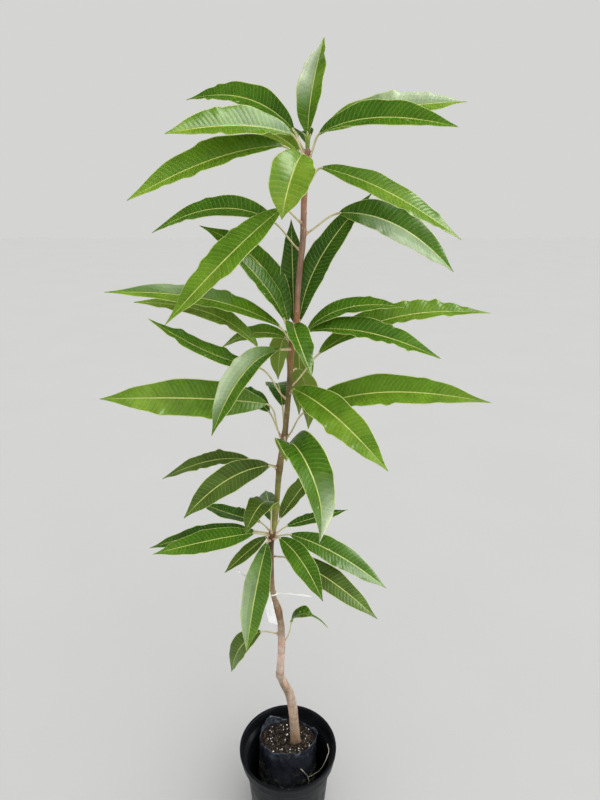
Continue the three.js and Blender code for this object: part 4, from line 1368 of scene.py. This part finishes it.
def pale_room(strength):
    """An even pale light up to a little above the horizon and a dark one over it. The camera sees it pale all
    over, and gloss sees it dimmer."""
    world = bpy.data.worlds.new("pale_room")
    bpy.context.scene.world = world
    world.use_nodes = True
    tree = world.node_tree
    way = tree.nodes.new("ShaderNodeTexCoord")
    parts = tree.nodes.new("ShaderNodeSeparateXYZ")
    tree.links.new(way.outputs["Generated"], parts.inputs[0])
    pale, dark, dim = (0.66, 0.66, 0.65, 1.0), (0.10, 0.105, 0.11, 1.0), (0.4, 0.4, 0.4, 1.0)
    band = tree.nodes.new("ShaderNodeValToRGB")
    for element, position, colour in zip(band.color_ramp.elements, (0.22, 0.27), (pale, dark)):
        element.position = position
        element.color = colour
    tree.links.new(parts.outputs["Z"], band.inputs[0])
    seen = tree.nodes.new("ShaderNodeLightPath")
    came = band.outputs[0]
    for ray, blend, colour in (("Is Glossy Ray", "MULTIPLY", dim), ("Is Camera Ray", "MIX", pale)):
        mixed = tree.nodes.new("ShaderNodeMix")
        mixed.data_type = "RGBA"
        mixed.blend_type = blend
        mixed.inputs[7].default_value = colour
        tree.links.new(seen.outputs[ray], mixed.inputs[0])
        tree.links.new(came, mixed.inputs[6])
        came = mixed.outputs[2]
    sky = tree.nodes["Background"].inputs
    tree.links.new(came, sky["Color"])
    sky["Strength"].default_value = strength


class SAPLING_OT_stage(bpy.types.Operator):
    """Set up the pale floor, the soft lights and the camera."""

    bl_idname = "sapling.stage"
    bl_label = "Stage"

    def execute(self, context):
        look = context.scene.sapling_stage
        scene = context.scene
        scene.view_settings.view_transform = "Standard"
        pale_room(look.sky)

        floor = Skin()
        far = FLOOR_SIZE / 2
        floor.add([[-far, -far, 0], [far, -far, 0], [far, far, 0], [-far, far, 0]], [[0, 1, 2, 3]], 0)
        finish = Finish("pale_floor", 0.9, Specular_IOR_Level=0.1)
        finish.colour(finish.drift(finish.noise(3.0, 4.0), 0.3, 0.7, look.floor, 0.98, 1.0))
        floor.mesh("floor", [finish.material], smooth=False)

        for row in WINDOWS:
            window(*row)

        camera = bpy.data.cameras.new("camera")
        camera.sensor_width = 36.0
        camera.lens = look.lens
        eye = add_to_scene("camera", camera)
        eye.location = EYE
        eye.rotation_euler = (np.pi / 2 - look.pitch, 0.0, 0.0)
        scene.camera = eye
        return {"FINISHED"}


# ------------------------------------------------------------------ panel and main

STEPS = ("stage", "pot", "bag", "soil", "roots", "stem", "leaves", "stalks", "tag")


class SAPLING_PT_panel(bpy.types.Panel):
    """Lists the steps and their settings."""

    bl_idname = "SAPLING_PT_panel"
    bl_label = "Potted mango sapling"
    bl_space_type = "VIEW_3D"
    bl_region_type = "UI"
    bl_category = "Sapling"

    def draw(self, context):
        for name in STEPS:
            self.layout.operator(f"sapling.{name}")
        for name in SETTINGS:
            group = getattr(context.scene, name)
            box = self.layout.box()
            for key in group.bl_rna.properties.keys():
                if key not in ("rna_type", "name"):
                    box.prop(group, key)


SETTINGS = {
    "sapling_leaves": SAPLING_PG_leaves,
    "sapling_stem": SAPLING_PG_stem,
    "sapling_pot": SAPLING_PG_pot,
    "sapling_soil": SAPLING_PG_soil,
    "sapling_stage": SAPLING_PG_stage,
}
CLASSES = (
    *SETTINGS.values(),
    SAPLING_OT_stage,
    SAPLING_OT_pot,
    SAPLING_OT_bag,
    SAPLING_OT_soil,
    SAPLING_OT_roots,
    SAPLING_OT_stem,
    SAPLING_OT_leaves,
    SAPLING_OT_stalks,
    SAPLING_OT_tag,
    SAPLING_PT_panel,
)


def register():
    for cls in CLASSES:
        bpy.utils.register_class(cls)
    for name, group in SETTINGS.items():
        setattr(bpy.types.Scene, name, bpy.props.PointerProperty(type=group))


def unregister():
    for name in SETTINGS:
        delattr(bpy.types.Scene, name)
    for cls in reversed(CLASSES):
        bpy.utils.unregister_class(cls)


def main():
    """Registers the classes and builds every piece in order."""
    register()
    for name in STEPS:
        getattr(bpy.ops.sapling, name)()


if __name__ == "__main__":
    main()
